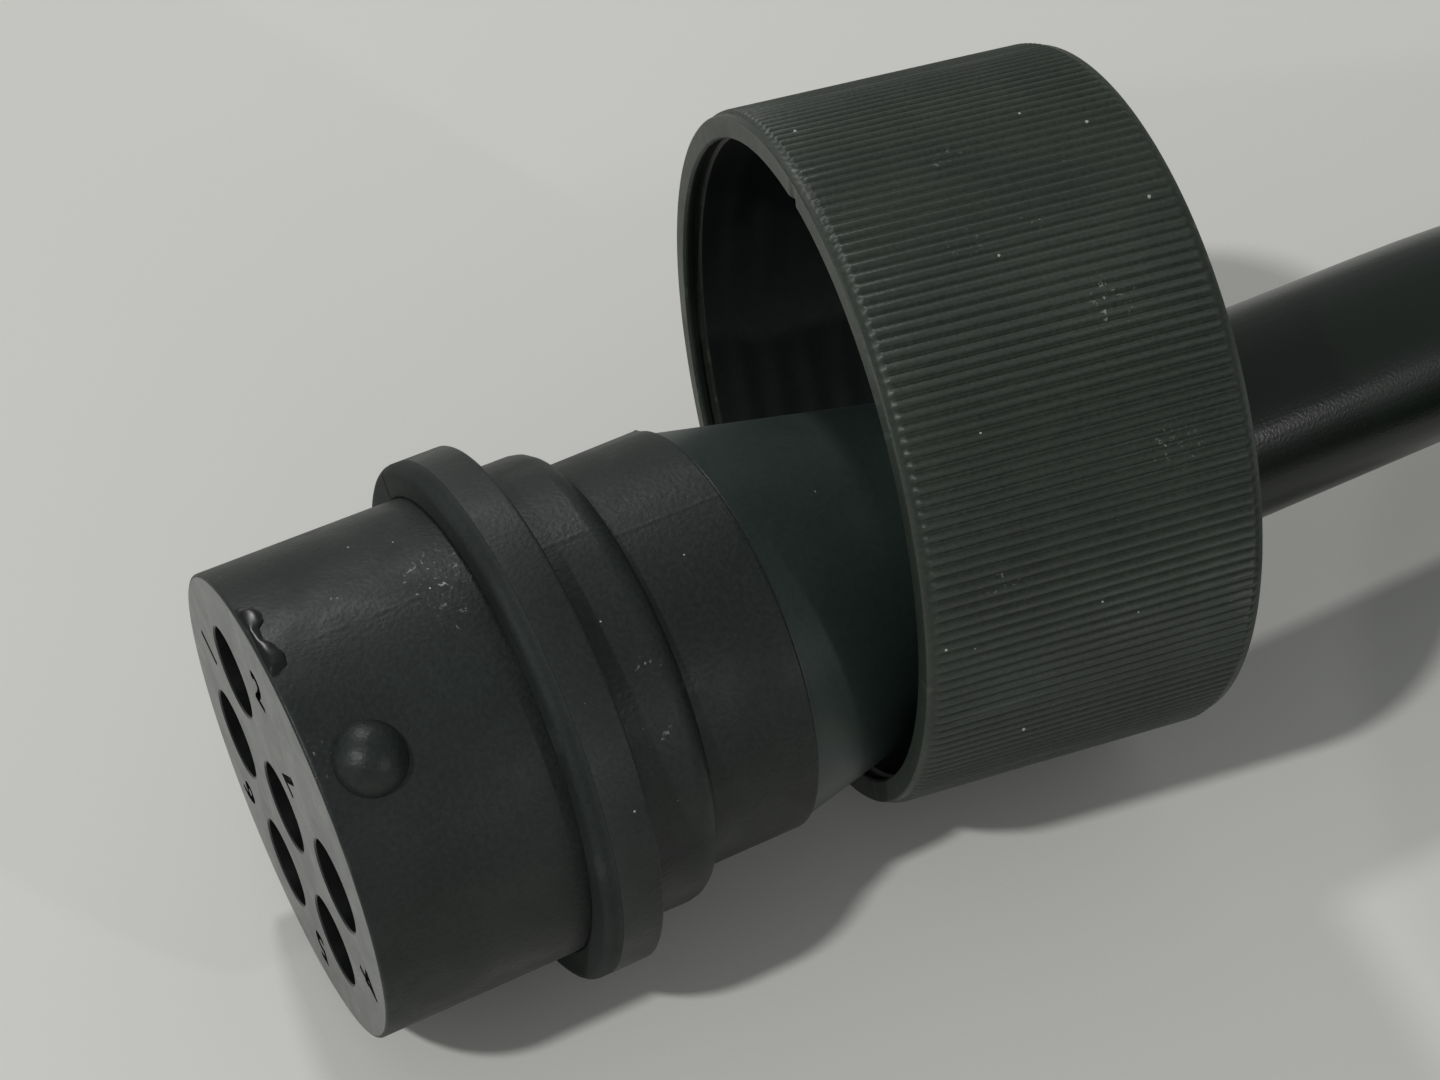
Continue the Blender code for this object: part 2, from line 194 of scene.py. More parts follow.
def joined(name, meshes):
    work = bmesh.new()
    for mesh in meshes:
        work.from_mesh(mesh)
    whole = bpy.data.meshes.new(name)
    work.to_mesh(whole)
    work.free()
    return newPiece(name, whole)


def sweep(name, points, section, start=None, closed=False, ends=()):
    # carries a section (points across the path) along a path, with a UV map in metres
    count = len(points)
    if closed:
        tangents = [(points[(i + 1) % count] - points[i - 1]).normalized() for i in range(count)]
    else:
        last = count - 1
        tangents = [(points[min(i + 1, last)] - points[max(i - 1, 0)]).normalized() for i in range(count)]
    side = (start or Vector((0, 0, 1))).cross(tangents[0]).normalized()
    rows, travelled = [], 0.0
    for index, (point, tangent) in enumerate(zip(points, tangents)):
        side = (side - tangent * side.dot(tangent)).normalized()
        up = tangent.cross(side)
        travelled += (point - points[index - 1]).length if index else 0.0
        rows.append((point, tangent, side, up, travelled, 1.0))
    if ends:
        point, tangent, side, up, travelled, _ = rows[-1]
        rows += [(point + tangent * advance, tangent, side, up, travelled + advance, scale)
                 for scale, advance in ends]
    width = len(section)
    rim = [0.0]
    for index in range(width):
        rim.append(rim[-1] + (Vector(section[(index + 1) % width]) - Vector(section[index])).length)
    work = bmesh.new()
    layer = work.loops.layers.uv.new("UVMap")
    rings = [[work.verts.new(point + (side * x + up * y) * scale) for x, y in section]
             for point, _, side, up, _, scale in rows]
    pairs = [(i, i + 1) for i in range(len(rows) - 1)] + ([(len(rows) - 1, 0)] if closed else [])
    total = travelled + (points[0] - points[-1]).length
    for low, high in pairs:
        far = rows[high][4] if high else total
        for index in range(width):
            after = (index + 1) % width
            first, second = rings[low], rings[high]
            face = work.faces.new((first[index], first[after], second[after], second[index]))
            near, here, there = rows[low][4], rim[index], rim[index + 1]
            spots = ((here, near), (there, near), (there, far), (here, far))
            for loop, spot in zip(face.loops, spots):
                loop[layer].uv = spot
    if not closed:
        for ring in (rings[0], rings[-1]):
            work.faces.new(ring)
        bmesh.ops.recalc_face_normals(work, faces=work.faces)
    if work.calc_volume(signed=True) < 0:
        bmesh.ops.reverse_faces(work, faces=work.faces)
    mesh = bpy.data.meshes.new(name)
    work.to_mesh(mesh)
    work.free()
    shade(mesh)
    return newPiece(name, mesh)


def circle(radius, sides):
    return [(radius * cos(angle), radius * sin(angle)) for angle in evenAngles(sides)]


def dent(mesh, centre, reach, push):
    # moves the points near a place, fading out with distance
    for vertex in mesh.vertices:
        away = (vertex.co - centre).length
        if away < reach:
            vertex.co += push * (1 - smooth(away, 0, reach))


def settle(piece, body, slotName, material, *nodes):
    piece.data.materials.clear()
    piece.data.materials.append(material)
    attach(piece, body)
    if nodes:
        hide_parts(*nodes)
    return piece


# Where things are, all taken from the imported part.
housingLow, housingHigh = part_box("plug_housing")
flangeRadius = (housingHigh.z - housingLow.z) / 2
faceCentre = Vector((housingLow.x, (housingLow.y + housingHigh.y) / 2, (housingLow.z + housingHigh.z) / 2))
bodyEnd = housingHigh.x - housingLow.x
plugPlace = Matrix(((0, 0, 1, faceCentre.x), (1, 0, 0, faceCentre.y), (0, 1, 0, faceCentre.z), (0, 0, 0, 1)))

spinJoint = next(joint for joint in frame["joints"] if joint["name"] == "nut_spin")
spinAxis = Vector(spinJoint["axis"]).normalized()
spinPoint = Vector(spinJoint["pos_m"])


def alongAxis(node):
    # the stations of a node's two ends and its largest radius, from the nut's own axis
    offsets = [vertex.co - spinPoint for vertex in frame["nodes"][node].data.vertices]
    stations = [offset.dot(spinAxis) for offset in offsets]
    radii = [(offset - spinAxis * offset.dot(spinAxis)).length for offset in offsets]
    return min(stations), max(stations), max(radii)


rimStation, backStation, nutRadius = alongAxis("coupling_nut")
nutLength = backStation - rimStation
nutRim = spinPoint + spinAxis * rimStation
across = Vector((0, 0, 1)).cross(spinAxis).normalized()
nutPlace = Matrix((across, Vector((0, 0, 1)), spinAxis)).transposed().to_4x4()
nutPlace.translation = nutRim


def plugPoint(station, angle, radius):
    # station back from the mating face, angle in degrees from the +Y side, all lengths in mm
    turn = radians(angle)
    return plugPlace @ Vector((radius * mm * cos(turn), radius * mm * sin(turn), station * mm))


print("frame read")

view = {
    "offset": (-28.47, -117.53, 158.65),  # from the middle of the mating face, in mm
    "right": (0.8797, -0.4752, 0.003),
    "forward": (0.3202, 0.5875, -0.743),
    "lens": 68.2,
}


def makeCamera():
    data = bpy.data.cameras.new("camera")
    data.sensor_width = 36
    data.sensor_fit = "HORIZONTAL"
    data.lens = view["lens"]
    data.clip_start = 0.01
    camera = bpy.data.objects.new("camera", data)
    bpy.context.scene.collection.objects.link(camera)
    back = -Vector(view["forward"]).normalized()
    right = Vector(view["right"])
    right = (right - back * right.dot(back)).normalized()
    turn = Matrix((right, back.cross(right), back)).transposed().to_4x4()
    turn.translation = faceCentre + Vector(view["offset"]) * mm
    camera.matrix_world = turn
    bpy.context.scene.camera = camera


studio = {
    "width": 0.06,  # small enough to leave an edge to the shadows
    # each lamp's place from the middle of the mating face, in mm, and its power
    "lamps": {
        "behind": ((74, 574, 580), 1.6),
        "left": ((-600, -150, 830), 4.5),
        "low": ((520, -1050, 450), 1.25),
    },
    "fill": 0.34,
    "fillColour": "#e8ecea",
}


def makeStudio():
    scene = bpy.context.scene
    scene.view_settings.view_transform = "Standard"
    for name, (offset, power) in studio["lamps"].items():
        lamp = bpy.data.lights.new(name, "AREA")
        lamp.shape = "DISK"
        lamp.size = studio["width"]
        lamp.energy = power
        holder = bpy.data.objects.new(name, lamp)
        scene.collection.objects.link(holder)
        holder.location = faceCentre + Vector(offset) * mm
        holder.rotation_euler = holder.location.to_track_quat("Z", "Y").to_euler()
    world = bpy.data.worlds.new("studio")
    world.use_nodes = True
    scene.world = world
    background = world.node_tree.nodes["Background"]
    background.inputs["Color"].default_value = toLinear(studio["fillColour"])
    background.inputs["Strength"].default_value = studio["fill"]

    work = bmesh.new()
    bmesh.ops.create_grid(work, x_segments=8, y_segments=8, size=3.0)
    mesh = bpy.data.meshes.new("table")
    work.to_mesh(mesh)
    work.free()
    mesh.transform(Matrix.Translation((0, 0, -0.02 * mm)))
    floor = newPiece("table", mesh)
    mesh.materials.append(paperMaterial())


def startMaterial(name, roughness, metallic=0.0, ior=None):
    material = bpy.data.materials.new(name)
    material.use_nodes = True
    tree = material.node_tree
    shader = tree.nodes["Principled BSDF"]
    shader.inputs["Roughness"].default_value = roughness
    shader.inputs["Metallic"].default_value = metallic
    if ior:
        shader.inputs["IOR"].default_value = ior
    spot = addNode(tree, "ShaderNodeTexCoord").outputs["Object"]
    return material, tree, shader, spot


def feed(tree, shader, sockets):
    for name, socket in sockets.items():
        tree.links.new(socket, shader.inputs[name])


def hazeTint(tree, spot, size, detail, dark, light):
    # a soft haze of a size in mm, and the colour that it gives between two tints
    haze = addNode(tree, "ShaderNodeTexNoise", inputs={
        "Vector": spot, "Scale": 1 / (size * mm), "Detail": detail}).outputs["Fac"]
    tint = addNode(tree, "ShaderNodeMix", {"data_type": "RGBA"}, {
        0: haze, 6: toLinear(dark), 7: toLinear(light)}).outputs[2]
    return haze, tint


def paperMaterial():
    # matt white card: faint mottling and a very fine tooth
    material, tree, shader, spot = startMaterial("card_matt_white", 0.9, ior=1.45)
    cloud = addNode(tree, "ShaderNodeTexNoise", inputs={"Vector": spot, "Scale": 9.0, "Detail": 3.0})
    tint = addNode(tree, "ShaderNodeValToRGB", inputs={"Fac": cloud.outputs["Fac"]})
    tint.color_ramp.elements[0].color = toLinear("#d5d4d0")
    tint.color_ramp.elements[1].color = toLinear("#dddcd8")
    tooth = addNode(tree, "ShaderNodeTexNoise", inputs={"Vector": spot, "Scale": 2200.0, "Detail": 2.0})
    relief = addNode(tree, "ShaderNodeBump", inputs={"Height": tooth.outputs["Fac"], "Distance": 0.03 * mm,
        "Strength": 0.4})
    feed(tree, shader, {"Base Color": tint.outputs["Color"], "Normal": relief.outputs["Normal"]})
    return material


wearAndPaintedLight = {
    "edge": (0.515, 0.60),  # pointiness where an edge starts to pale, and where it is fully pale; the paling is partly wear and partly painted highlight
    "groove": (0.40, 0.52),  # pointiness of the narrowest groove, and of open skin, for the painted shade in grooves
    "chipSize": 0.4, "chips": (0.62, 0.74), "chipCover": 0.7, "chipGloss": 0.18,
}


def mouldedPlastic(look):
    # black moulded plastic or rubber: the mould's fine grain, cloudy gloss, dust specks, and pale edges that
    # are partly wear and partly painted highlight; where asked, painted shade in narrow grooves
    material, tree, shader, spot = startMaterial(look["name"], look["roughness"][0],
        ior=look.get("ior", 1.53))
    cloud = addNode(tree, "ShaderNodeTexNoise",
        inputs={"Vector": spot, "Scale": 1 / (look["cloud"] * mm), "Detail": 3.0})
    fine = addNode(tree, "ShaderNodeTexNoise",
        inputs={"Vector": spot, "Scale": 1 / (look["grain"] * mm), "Detail": 2.0})
    mottle = addNode(tree, "ShaderNodeMath", {"operation": "ADD"},
        {0: cloud.outputs["Fac"], 1: fine.outputs["Fac"]}).outputs[0]
    blend = addNode(tree, "ShaderNodeMapRange",
        inputs={"Value": mottle, "From Min": 0.7, "From Max": 1.3}).outputs[0]
    colour = addNode(tree, "ShaderNodeMix", {"data_type": "RGBA"}, {
        0: blend, 6: toLinear(look["dark"]), 7: toLinear(look["light"])}).outputs[2]

    # pale edges by pointiness: partly wear, partly a painted highlight on edges and ridges, such as the
    # parting line, that catch the light
    edge = addNode(tree, "ShaderNodeNewGeometry").outputs["Pointiness"]
    worn = addNode(tree, "ShaderNodeMapRange", {"interpolation_type": "SMOOTHSTEP"}, {
        "Value": edge, "From Min": wearAndPaintedLight["edge"][0], "From Max": wearAndPaintedLight["edge"][1],
        "To Max": look["edgeWearAndSheen"]}).outputs[0]
    colour = addNode(tree, "ShaderNodeMix", {"data_type": "RGBA"}, {
        0: worn, 6: colour, 7: toLinear(look["edge"])}).outputs[2]

    cells = addNode(tree, "ShaderNodeTexVoronoi",
        inputs={"Vector": spot, "Scale": 1 / (look["speckSpacing"] * mm)})
    limit = addNode(tree, "ShaderNodeMath", {"operation": "MULTIPLY"}, {
        0: addNode(tree, "ShaderNodeSeparateColor", inputs={"Color": cells.outputs["Color"]}).outputs[0],
        1: look["speckSize"] / look["speckSpacing"]}).outputs[0]
    dust = addNode(tree, "ShaderNodeMath", {"operation": "LESS_THAN"},
        {0: cells.outputs["Distance"], 1: limit}).outputs[0]
    colour = addNode(tree, "ShaderNodeMix", {"data_type": "RGBA"}, {
        0: dust, 6: colour, 7: toLinear(look["dust"])}).outputs[2]

    smear = addNode(tree, "ShaderNodeTexNoise", inputs={
        "Vector": spot, "Scale": 1 / (look["smear"] * mm), "Detail": 4.0, "Distortion": 0.6})
    gloss = addNode(tree, "ShaderNodeMapRange", inputs={
        "Value": smear.outputs["Fac"], "From Min": 0.3, "From Max": 0.7,
        "To Min": look["roughness"][0], "To Max": look["roughness"][1]}).outputs[0]

    for place, reach in look.get("scuffs", ()):
        # a patch of small bright scores where something has rubbed
        near = addNode(tree, "ShaderNodeVectorMath", {"operation": "DISTANCE"},
            {0: spot, 1: place}).outputs["Value"]
        patch = addNode(tree, "ShaderNodeMapRange", {"interpolation_type": "SMOOTHSTEP"}, {
            "Value": near, "From Min": 0.3 * reach * mm, "From Max": reach * mm, "To Min": 1.0,
            "To Max": 0.0}).outputs[0]
        chips = addNode(tree, "ShaderNodeTexNoise", inputs={
            "Vector": spot, "Scale": 1 / (wearAndPaintedLight["chipSize"] * mm), "Detail": 4.0, "Distortion": 0.6})
        score = addNode(tree, "ShaderNodeMapRange", inputs={
            "Value": chips.outputs["Fac"], "From Min": wearAndPaintedLight["chips"][0], "From Max": wearAndPaintedLight["chips"][1],
            "To Max": wearAndPaintedLight["chipCover"]}).outputs[0]
        mark = addNode(tree, "ShaderNodeMath", {"operation": "MULTIPLY"}, {0: patch, 1: score}).outputs[0]
        colour = addNode(tree, "ShaderNodeMix", {"data_type": "RGBA"}, {
            0: mark, 6: colour, 7: toLinear(look["dust"])}).outputs[2]
        gloss = addNode(tree, "ShaderNodeMix", {"data_type": "FLOAT"}, {
            0: mark, 2: gloss, 3: wearAndPaintedLight["chipGloss"]}).outputs[0]

    relief = addNode(tree, "ShaderNodeBump", inputs={
        "Height": fine.outputs["Fac"], "Distance": look["grainHeight"] * mm, "Strength": 1.0})
    feed(tree, shader, {"Base Color": colour, "Roughness": gloss, "Normal": relief.outputs["Normal"]})
    if "paintedGrooveShade" in look:
        # painted shade: the shine is turned down in narrow grooves, as if less light got back out of them
        shine = addNode(tree, "ShaderNodeMapRange", inputs={
            "Value": edge, "From Min": wearAndPaintedLight["groove"][0], "From Max": wearAndPaintedLight["groove"][1],
            "To Min": look["paintedGrooveShade"], "To Max": 0.5}).outputs[0]
        tree.links.new(shine, shader.inputs["Specular IOR Level"])
    return material


housing = {
    "shell": 17.9, "flange": flangeRadius / mm, "body": 16.15, "cavity": 13.0,
    "sealEnd": 17.0, "flangeEnd": 20.22, "collarEnd": 26.4, "end": bodyEnd / mm,
    "faceDepth": 18.0, "steps": 176,
    "holeRadius": 3.5, "holeEdge": 0.12, "pitchRadius": 10.4, "firstAngle": -15.7, "blank": 3, "centre": 7,
    "nib": 0.2, "bumpAngle": 124.0, "bumpStation": 3.9, "bumpRadius": 2.78, "bumpSink": 0.98,
    "parting": (93.5, 273.5), "ridgeHeight": 0.035, "ridgeHalf": 0.5,  # the half width is in degrees
    "numeralSize": 4.0, "numeralDepth": 0.3, "bow": 0.035,
    # four cuts a little apart give the numerals their broad stroke; no two have a wall or floor in line
    "cuts": ((-0.12, -0.11, 0.0), (0.115, -0.125, 0.013), (0.125, 0.105, 0.027), (-0.11, 0.12, 0.04)),
    # each numeral's angle in degrees and its radius
    "numerals": {
        1: (16.2, 13.7), 2: (84.6, 12.0), 4: (191.6, 14.7), 5: (256.0, 13.8), 6: (315.0, 14.1),
        7: (114.0, 7.1),
    },
    # scuffed places: station, angle in degrees and reach in mm
    "scuffed": ((13.6, 90, 3.4), (13.4, 101, 1.6), (6.5, 84, 0.8), (0.6, 120, 1.8), (0.5, 58, 1.3),
                (24.0, 128, 1.2), (23.0, 142, 1.5)),
    "holeSides": 48, "holeTurn": 0.031,  # a small turn in radians, which keeps the cuts' walls out of line
    "nibAngle": 41, "nibReach": 0.9,
    "look": {
        "name": "nylon_black_moulded", "dark": "#101513", "light": "#1f2522", "edge": "#4d524e",
        "edgeWearAndSheen": 0.35,
        "roughness": (0.42, 0.58), "cloud": 9.0, "smear": 5.0, "ior": 1.41,
        "grain": 0.36, "grainHeight": 0.04,  # the real grain is 0.15 mm, drawn coarser so that it shows
        "speckSpacing": 3.0, "speckSize": 0.14, "dust": "#a2a7a2",
    },
    # the mating face: the same black nylon in a grey colour, a painted reflection of the pale floor seen at a
    # glancing angle
    "faceSheenLook": {
        "name": "nylon_black_face_painted_sheen", "dark": "#3b3f3d", "light": "#474b48", "edge": "#6a6e6a", "edgeWearAndSheen": 0.0,
        "roughness": (0.26, 0.36), "cloud": 4.0, "smear": 3.0, "grain": 0.5, "grainHeight": 0.003,
        "speckSpacing": 2.2, "speckSize": 0.10, "dust": "#2a2d2b", "ior": 1.68,
    },
    # holes and cut numerals: the same nylon made darker, painted shade inside the recesses
    "recessShadeLook": {
        "name": "nylon_black_recess_painted_shade", "dark": "#0a0b0b", "light": "#0f1110", "edge": "#1c1e1d",
        "edgeWearAndSheen": 0.1,
        "roughness": (0.30, 0.42), "cloud": 4.0, "smear": 3.0, "grain": 0.4, "grainHeight": 0.004,
        "speckSpacing": 5.0, "speckSize": 0.12, "dust": "#4b4f4c",
    },
}
poles = [number for number in range(1, 8) if number != housing["blank"]]


def polePlace(number, radius):
    # a pole's (angle in degrees, radius in mm)
    if number == housing["centre"]:
        return 0.0, 0.0
    return housing["firstAngle"] + 60 * (number - 1), radius


def numeralCutter(number, sideways, upwards, deeper):
    font = bpy.data.curves.new("numeral", "FONT")
    font.body = str(number)
    font.size = housing["numeralSize"] * mm
    font.extrude = housing["numeralDepth"] * mm
    font.align_x = "CENTER"
    font.align_y = "CENTER"
    font.resolution_u = 3
    holder = newPiece("numeral", font)
    mesh = frozenMesh(holder)
    bpy.data.objects.remove(holder, do_unlink=True)
    for vertex in mesh.vertices:
        # a slight bow, so that no three points of the outline lie in line
        vertex.co.y -= housing["bow"] * mm * (1 - (vertex.co.x / (2 * mm)) ** 2)
    faceOutwards(mesh)
    angle, radius = housing["numerals"][number]
    place = plugPoint(0, angle, radius)
    upright = radians(angle + (180 if number == housing["centre"] else 0))
    top = Vector((0, cos(upright), sin(upright)))  # the heads point outwards, but the centre one's points in
    outward = Vector((-1, 0, 0))
    turn = Matrix((top.cross(outward), top, outward)).transposed().to_4x4()
    turn.translation = place
    mesh.transform(turn @ Matrix.Translation((sideways * mm, upwards * mm, -deeper * mm)))
    return mesh


def partingRidge(radius, station, angle):
    # the fine raised line where the mould's halves met
    if not 15 * mm < radius < 18.5 * mm or station < 0.6 * mm:
        return 0.0
    away = min(abs(angle - radians(side)) for side in housing["parting"])
    return housing["ridgeHeight"] * mm * (1 - smooth(away, 0, radians(housing["ridgeHalf"])))


def makeHousing():
    size = housing
    corners = [
        (0, size["faceDepth"], 0), (size["cavity"], size["faceDepth"], 0), (size["cavity"], size["end"], 0.1),
        (size["body"], size["end"], 0.12), (size["body"], size["collarEnd"], 0.15),
        (size["shell"], size["collarEnd"], 1.7), (size["shell"], size["flangeEnd"], 0.12),
        (size["flange"], size["flangeEnd"], 0.22), (size["flange"], size["sealEnd"], 0),
        (size["shell"], size["sealEnd"], 0), (size["shell"], 0, 0.22), (0, 0, 0),
    ]
    angles = evenAngles(size["steps"])
    for middle in size["parting"]:
        angles = [angle for angle in angles if abs(angle - radians(middle)) > radians(1.1)]
        angles += [radians(middle + part * size["ridgeHalf"]) for part in (-2.2, -1, 0, 1, 2.2)]
    mesh = latheMesh("housing", roundedOutline(corners), sorted(angles), shift=partingRidge)
    mesh.transform(plugPlace)
    piece = newPiece("housing", mesh)

    cutters = []
    edge = size["holeEdge"]
    for number in poles:
        radius, floor = size["holeRadius"], size["faceDepth"] + 1
        outline = [(0, -1), (radius + edge, -1), (radius + edge, 0), (radius, edge), (radius, floor),
            (0, floor)]
        angles = [step + size["holeTurn"] for step in evenAngles(size["holeSides"])]
        hole = latheMesh("hole", [(x * mm, y * mm) for x, y in outline], angles)
        angle, radius = polePlace(number, size["pitchRadius"])
        hole.transform(Matrix.Translation(plugPoint(0, angle, radius) - faceCentre) @ plugPlace)
        cutters.append(hole)
    carve(piece, joined("holes", cutters))
    for cut in size["cuts"]:
        carve(piece, joined("numerals", [numeralCutter(number, *cut) for number in poles]))

    reach = size["bumpRadius"]
    turns = [pi * part / 16 for part in range(17)]
    dome = latheMesh("bump", [(reach * mm * sin(turn), reach * mm * -cos(turn)) for turn in turns],
        evenAngles(40))
    out = plugPoint(0, size["bumpAngle"], 1) - plugPoint(0, 0, 0)
    dome.transform(out.to_track_quat("Z", "Y").to_matrix().to_4x4())
    middle = plugPoint(size["bumpStation"], size["bumpAngle"], size["shell"] - size["bumpSink"])
    dome.transform(Matrix.Translation(middle))
    carve(piece, newPiece("bump", dome), "UNION")

    nib = plugPoint(size["end"], size["nibAngle"], size["body"])  # a scrap of flash on the body's end
    lift = (plugPoint(0, size["nibAngle"], 1) - plugPoint(0, 0, 0)) * size["nib"]
    dent(piece.data, nib, size["nibReach"] * mm, lift)
    mend(piece.data)
    shade(piece.data)
    size["look"]["scuffs"] = [(plugPoint(station, angle, size["shell"]), reach)
                              for station, angle, reach in size["scuffed"]]
    settle(piece, "plug", "black_nylon", mouldedPlastic(size["look"]), "plug_housing")
    piece.data.materials.append(mouldedPlastic(size["faceSheenLook"]))
    piece.data.materials.append(mouldedPlastic(size["recessShadeLook"]))
    for face in piece.data.polygons:
        offset = (face.center - faceCentre) / mm
        within = Vector((offset.y, offset.z)).length < size["shell"] - 0.5
        # the flat mating face takes the grey copy with the painted reflection
        if face.normal.x < -0.999 and offset.x < 0.01:
            face.material_index = 1
        elif within and offset.x < size["faceDepth"] - 0.1:
            face.material_index = 2  # the holes and the cut numerals, in the darker copy with the painted shade
    print("housing made")


seal = {
    "start": 15.72, "bore": 17.93, "thinWall": 0.02, "jointAngle": 37.7,
    "look": {
        "name": "rubber_seal_black", "dark": "#171c1a", "light": "#242a27", "edge": "#5a5e5a",
        "edgeWearAndSheen": 0.1,
        "roughness": (0.70, 0.84), "cloud": 7.0, "smear": 6.0, "grain": 0.25, "grainHeight": 0.006,
        "speckSpacing": 4.0, "speckSize": 0.12, "dust": "#8d928d", "ior": 1.38,
    },
}


def makeSeal():
    # the ring in front of the flange, with a joint across it
    size = seal
    outer = housing["flange"]
    end = housing["sealEnd"] - size["thinWall"]
    corners = [
        (outer, end, 0), (outer, size["start"], 0.65), (size["bore"], size["start"], 0.14),
        (size["bore"], end, 0),
    ]
    outline = roundedOutline(corners, closed=True)
    joint = radians(size["jointAngle"])
    angles = [angle for angle in evenAngles(192) if abs(angle - joint) > radians(0.6)]
    angles = sorted(angles + [joint + radians(part) for part in (-0.55, -0.22, 0, 0.22, 0.55)])

    def jointGroove(radius, station, angle):
        return -0.12 * mm * (1 - smooth(abs(angle - joint), 0, radians(0.4))) if radius > 19 * mm else 0.0

    mesh = latheMesh("seal", outline, angles, closed=True, shift=jointGroove)
    for vertex in mesh.vertices:
        x, y, z = vertex.co
        if z < (size["start"] + 0.4) * mm and x * x + y * y > (18.2 * mm) ** 2:
            away = abs(atan2(y, x) - joint)
            vertex.co.z += 0.22 * mm * (1 - smooth(away, 0, radians(0.4)))
    mesh.transform(plugPlace)
    shade(mesh)
    settle(newPiece("seal", mesh), "plug", "seal_rubber", mouldedPlastic(size["look"]), "flange_seal")


gateScar = {
    "from": 76.6, "to": 99.0, "front": 0.28, "height": 0.30,
    "along": 56, "over": 12,  # faces along it and across it
    # the share of its length, and its width there in mm
    "widths": ((0.0, 0.7), (0.07, 1.3), (0.2, 1.55), (0.3, 1.45), (0.42, 0.85),
               (0.54, 0.75), (0.66, 1.25), (0.8, 1.55), (0.92, 1.4), (1.0, 0.6)),
}


def gateMaterial():
    # nylon that melted and froze where the gate was torn off: glassy, lumpy and very black
    material, tree, shader, spot = startMaterial("nylon_black_melted", 0.3, ior=1.42)
    lumps, tint = hazeTint(tree, spot, 1.6, 1.0, "#080909", "#101211")
    relief = addNode(tree, "ShaderNodeBump", inputs={"Height": lumps, "Distance": 0.1 * mm, "Strength": 0.5})
    feed(tree, shader, {"Base Color": tint, "Normal": relief.outputs["Normal"]})
    return material


def makeGateScar():
    size = gateScar
    along, over = size["along"], size["over"]
    tops, floors = [], []
    for i in range(along + 1):
        part = i / along
        lower = max(width for width in size["widths"] if width[0] <= part)
        upper = min(width for width in size["widths"] if width[0] >= part)
        span = upper[0] - lower[0]
        width = lower[1] + (upper[1] - lower[1]) * (smooth(part, lower[0], upper[0]) if span else 0)
        angle = size["from"] + (size["to"] - size["from"]) * part
        for j in range(over + 1):
            side = j / over
            station = size["front"] - 0.12 + width * side
            dome = (1 - abs(2 * side - 1) ** 2.4) ** 0.6 * min(1, sin(pi * min(max(part, 0.02), 0.98)) * 3)
            lump = 0.85 + 0.3 * noise.noise(Vector((part * 4, side * 1.3, 4.1)))
            tops.append(plugPoint(station, angle, housing["shell"] - 0.03 + size["height"] * dome * lump))
            floors.append(plugPoint(station, angle, housing["shell"] - 0.35))
    row = over + 1
    count = len(tops)
    faces = []
    for i in range(along):
        for j in range(over):
            a, b, c, d = i * row + j, (i + 1) * row + j, (i + 1) * row + j + 1, i * row + j + 1
            faces += [(a, b, c, d), (d + count, c + count, b + count, a + count)]
    border = [i * row for i in range(along)] + [along * row + j for j in range(over)]
    border += [i * row + over for i in range(along, 0, -1)] + [j for j in range(over, 0, -1)]
    for here, after in zip(border, border[1:] + border[:1]):
        faces.append((here, here + count, after + count, after))
    mesh = bpy.data.meshes.new("gate_scar")
    mesh.from_pydata(tops + floors, [], faces)
    work = bmesh.new()
    work.from_mesh(mesh)
    bmesh.ops.recalc_face_normals(work, faces=work.faces)
    work.to_mesh(mesh)
    work.free()
    faceOutwards(mesh)
    shade(mesh)
    settle(newPiece("gate_scar", mesh), "plug", "black_nylon", gateMaterial())


contact = {
    "start": 5.0, "sleeve": 3.1, "bore": 2.3, "boreDepth": 9.0, "shoulder": 17.7,
    "barrel": 2.4, "barrelBore": 1.9, "barrelDepth": 6.0, "end": 22.5, "slot": 0.8, "slotDepth": 6.0,
    "sides": 40, "turn": 0.013,  # a small turn in radians, which keeps the slot's walls out of line
}


def brassMaterial():
    # turned brass: warm, bright, with fine rings from the lathe and a little tarnish
    material, tree, shader, spot = startMaterial("brass_turned", 0.24, metallic=1.0)
    haze, tint = hazeTint(tree, spot, 1.6, 3.0, "#c59a4d", "#e2c27a")
    rings = addNode(tree, "ShaderNodeTexWave", {"wave_type": "BANDS", "bands_direction": "X"}, {
        "Vector": spot, "Scale": 1 / (2.2 * mm), "Distortion": 0.4})
    relief = addNode(tree, "ShaderNodeBump", inputs={
        "Height": rings.outputs["Fac"], "Distance": 0.01 * mm, "Strength": 0.6})
    gloss = addNode(tree, "ShaderNodeMapRange",
        inputs={"Value": haze, "To Min": 0.18, "To Max": 0.36}).outputs[0]
    feed(tree, shader, {"Base Color": tint, "Roughness": gloss, "Normal": relief.outputs["Normal"]})
    return material


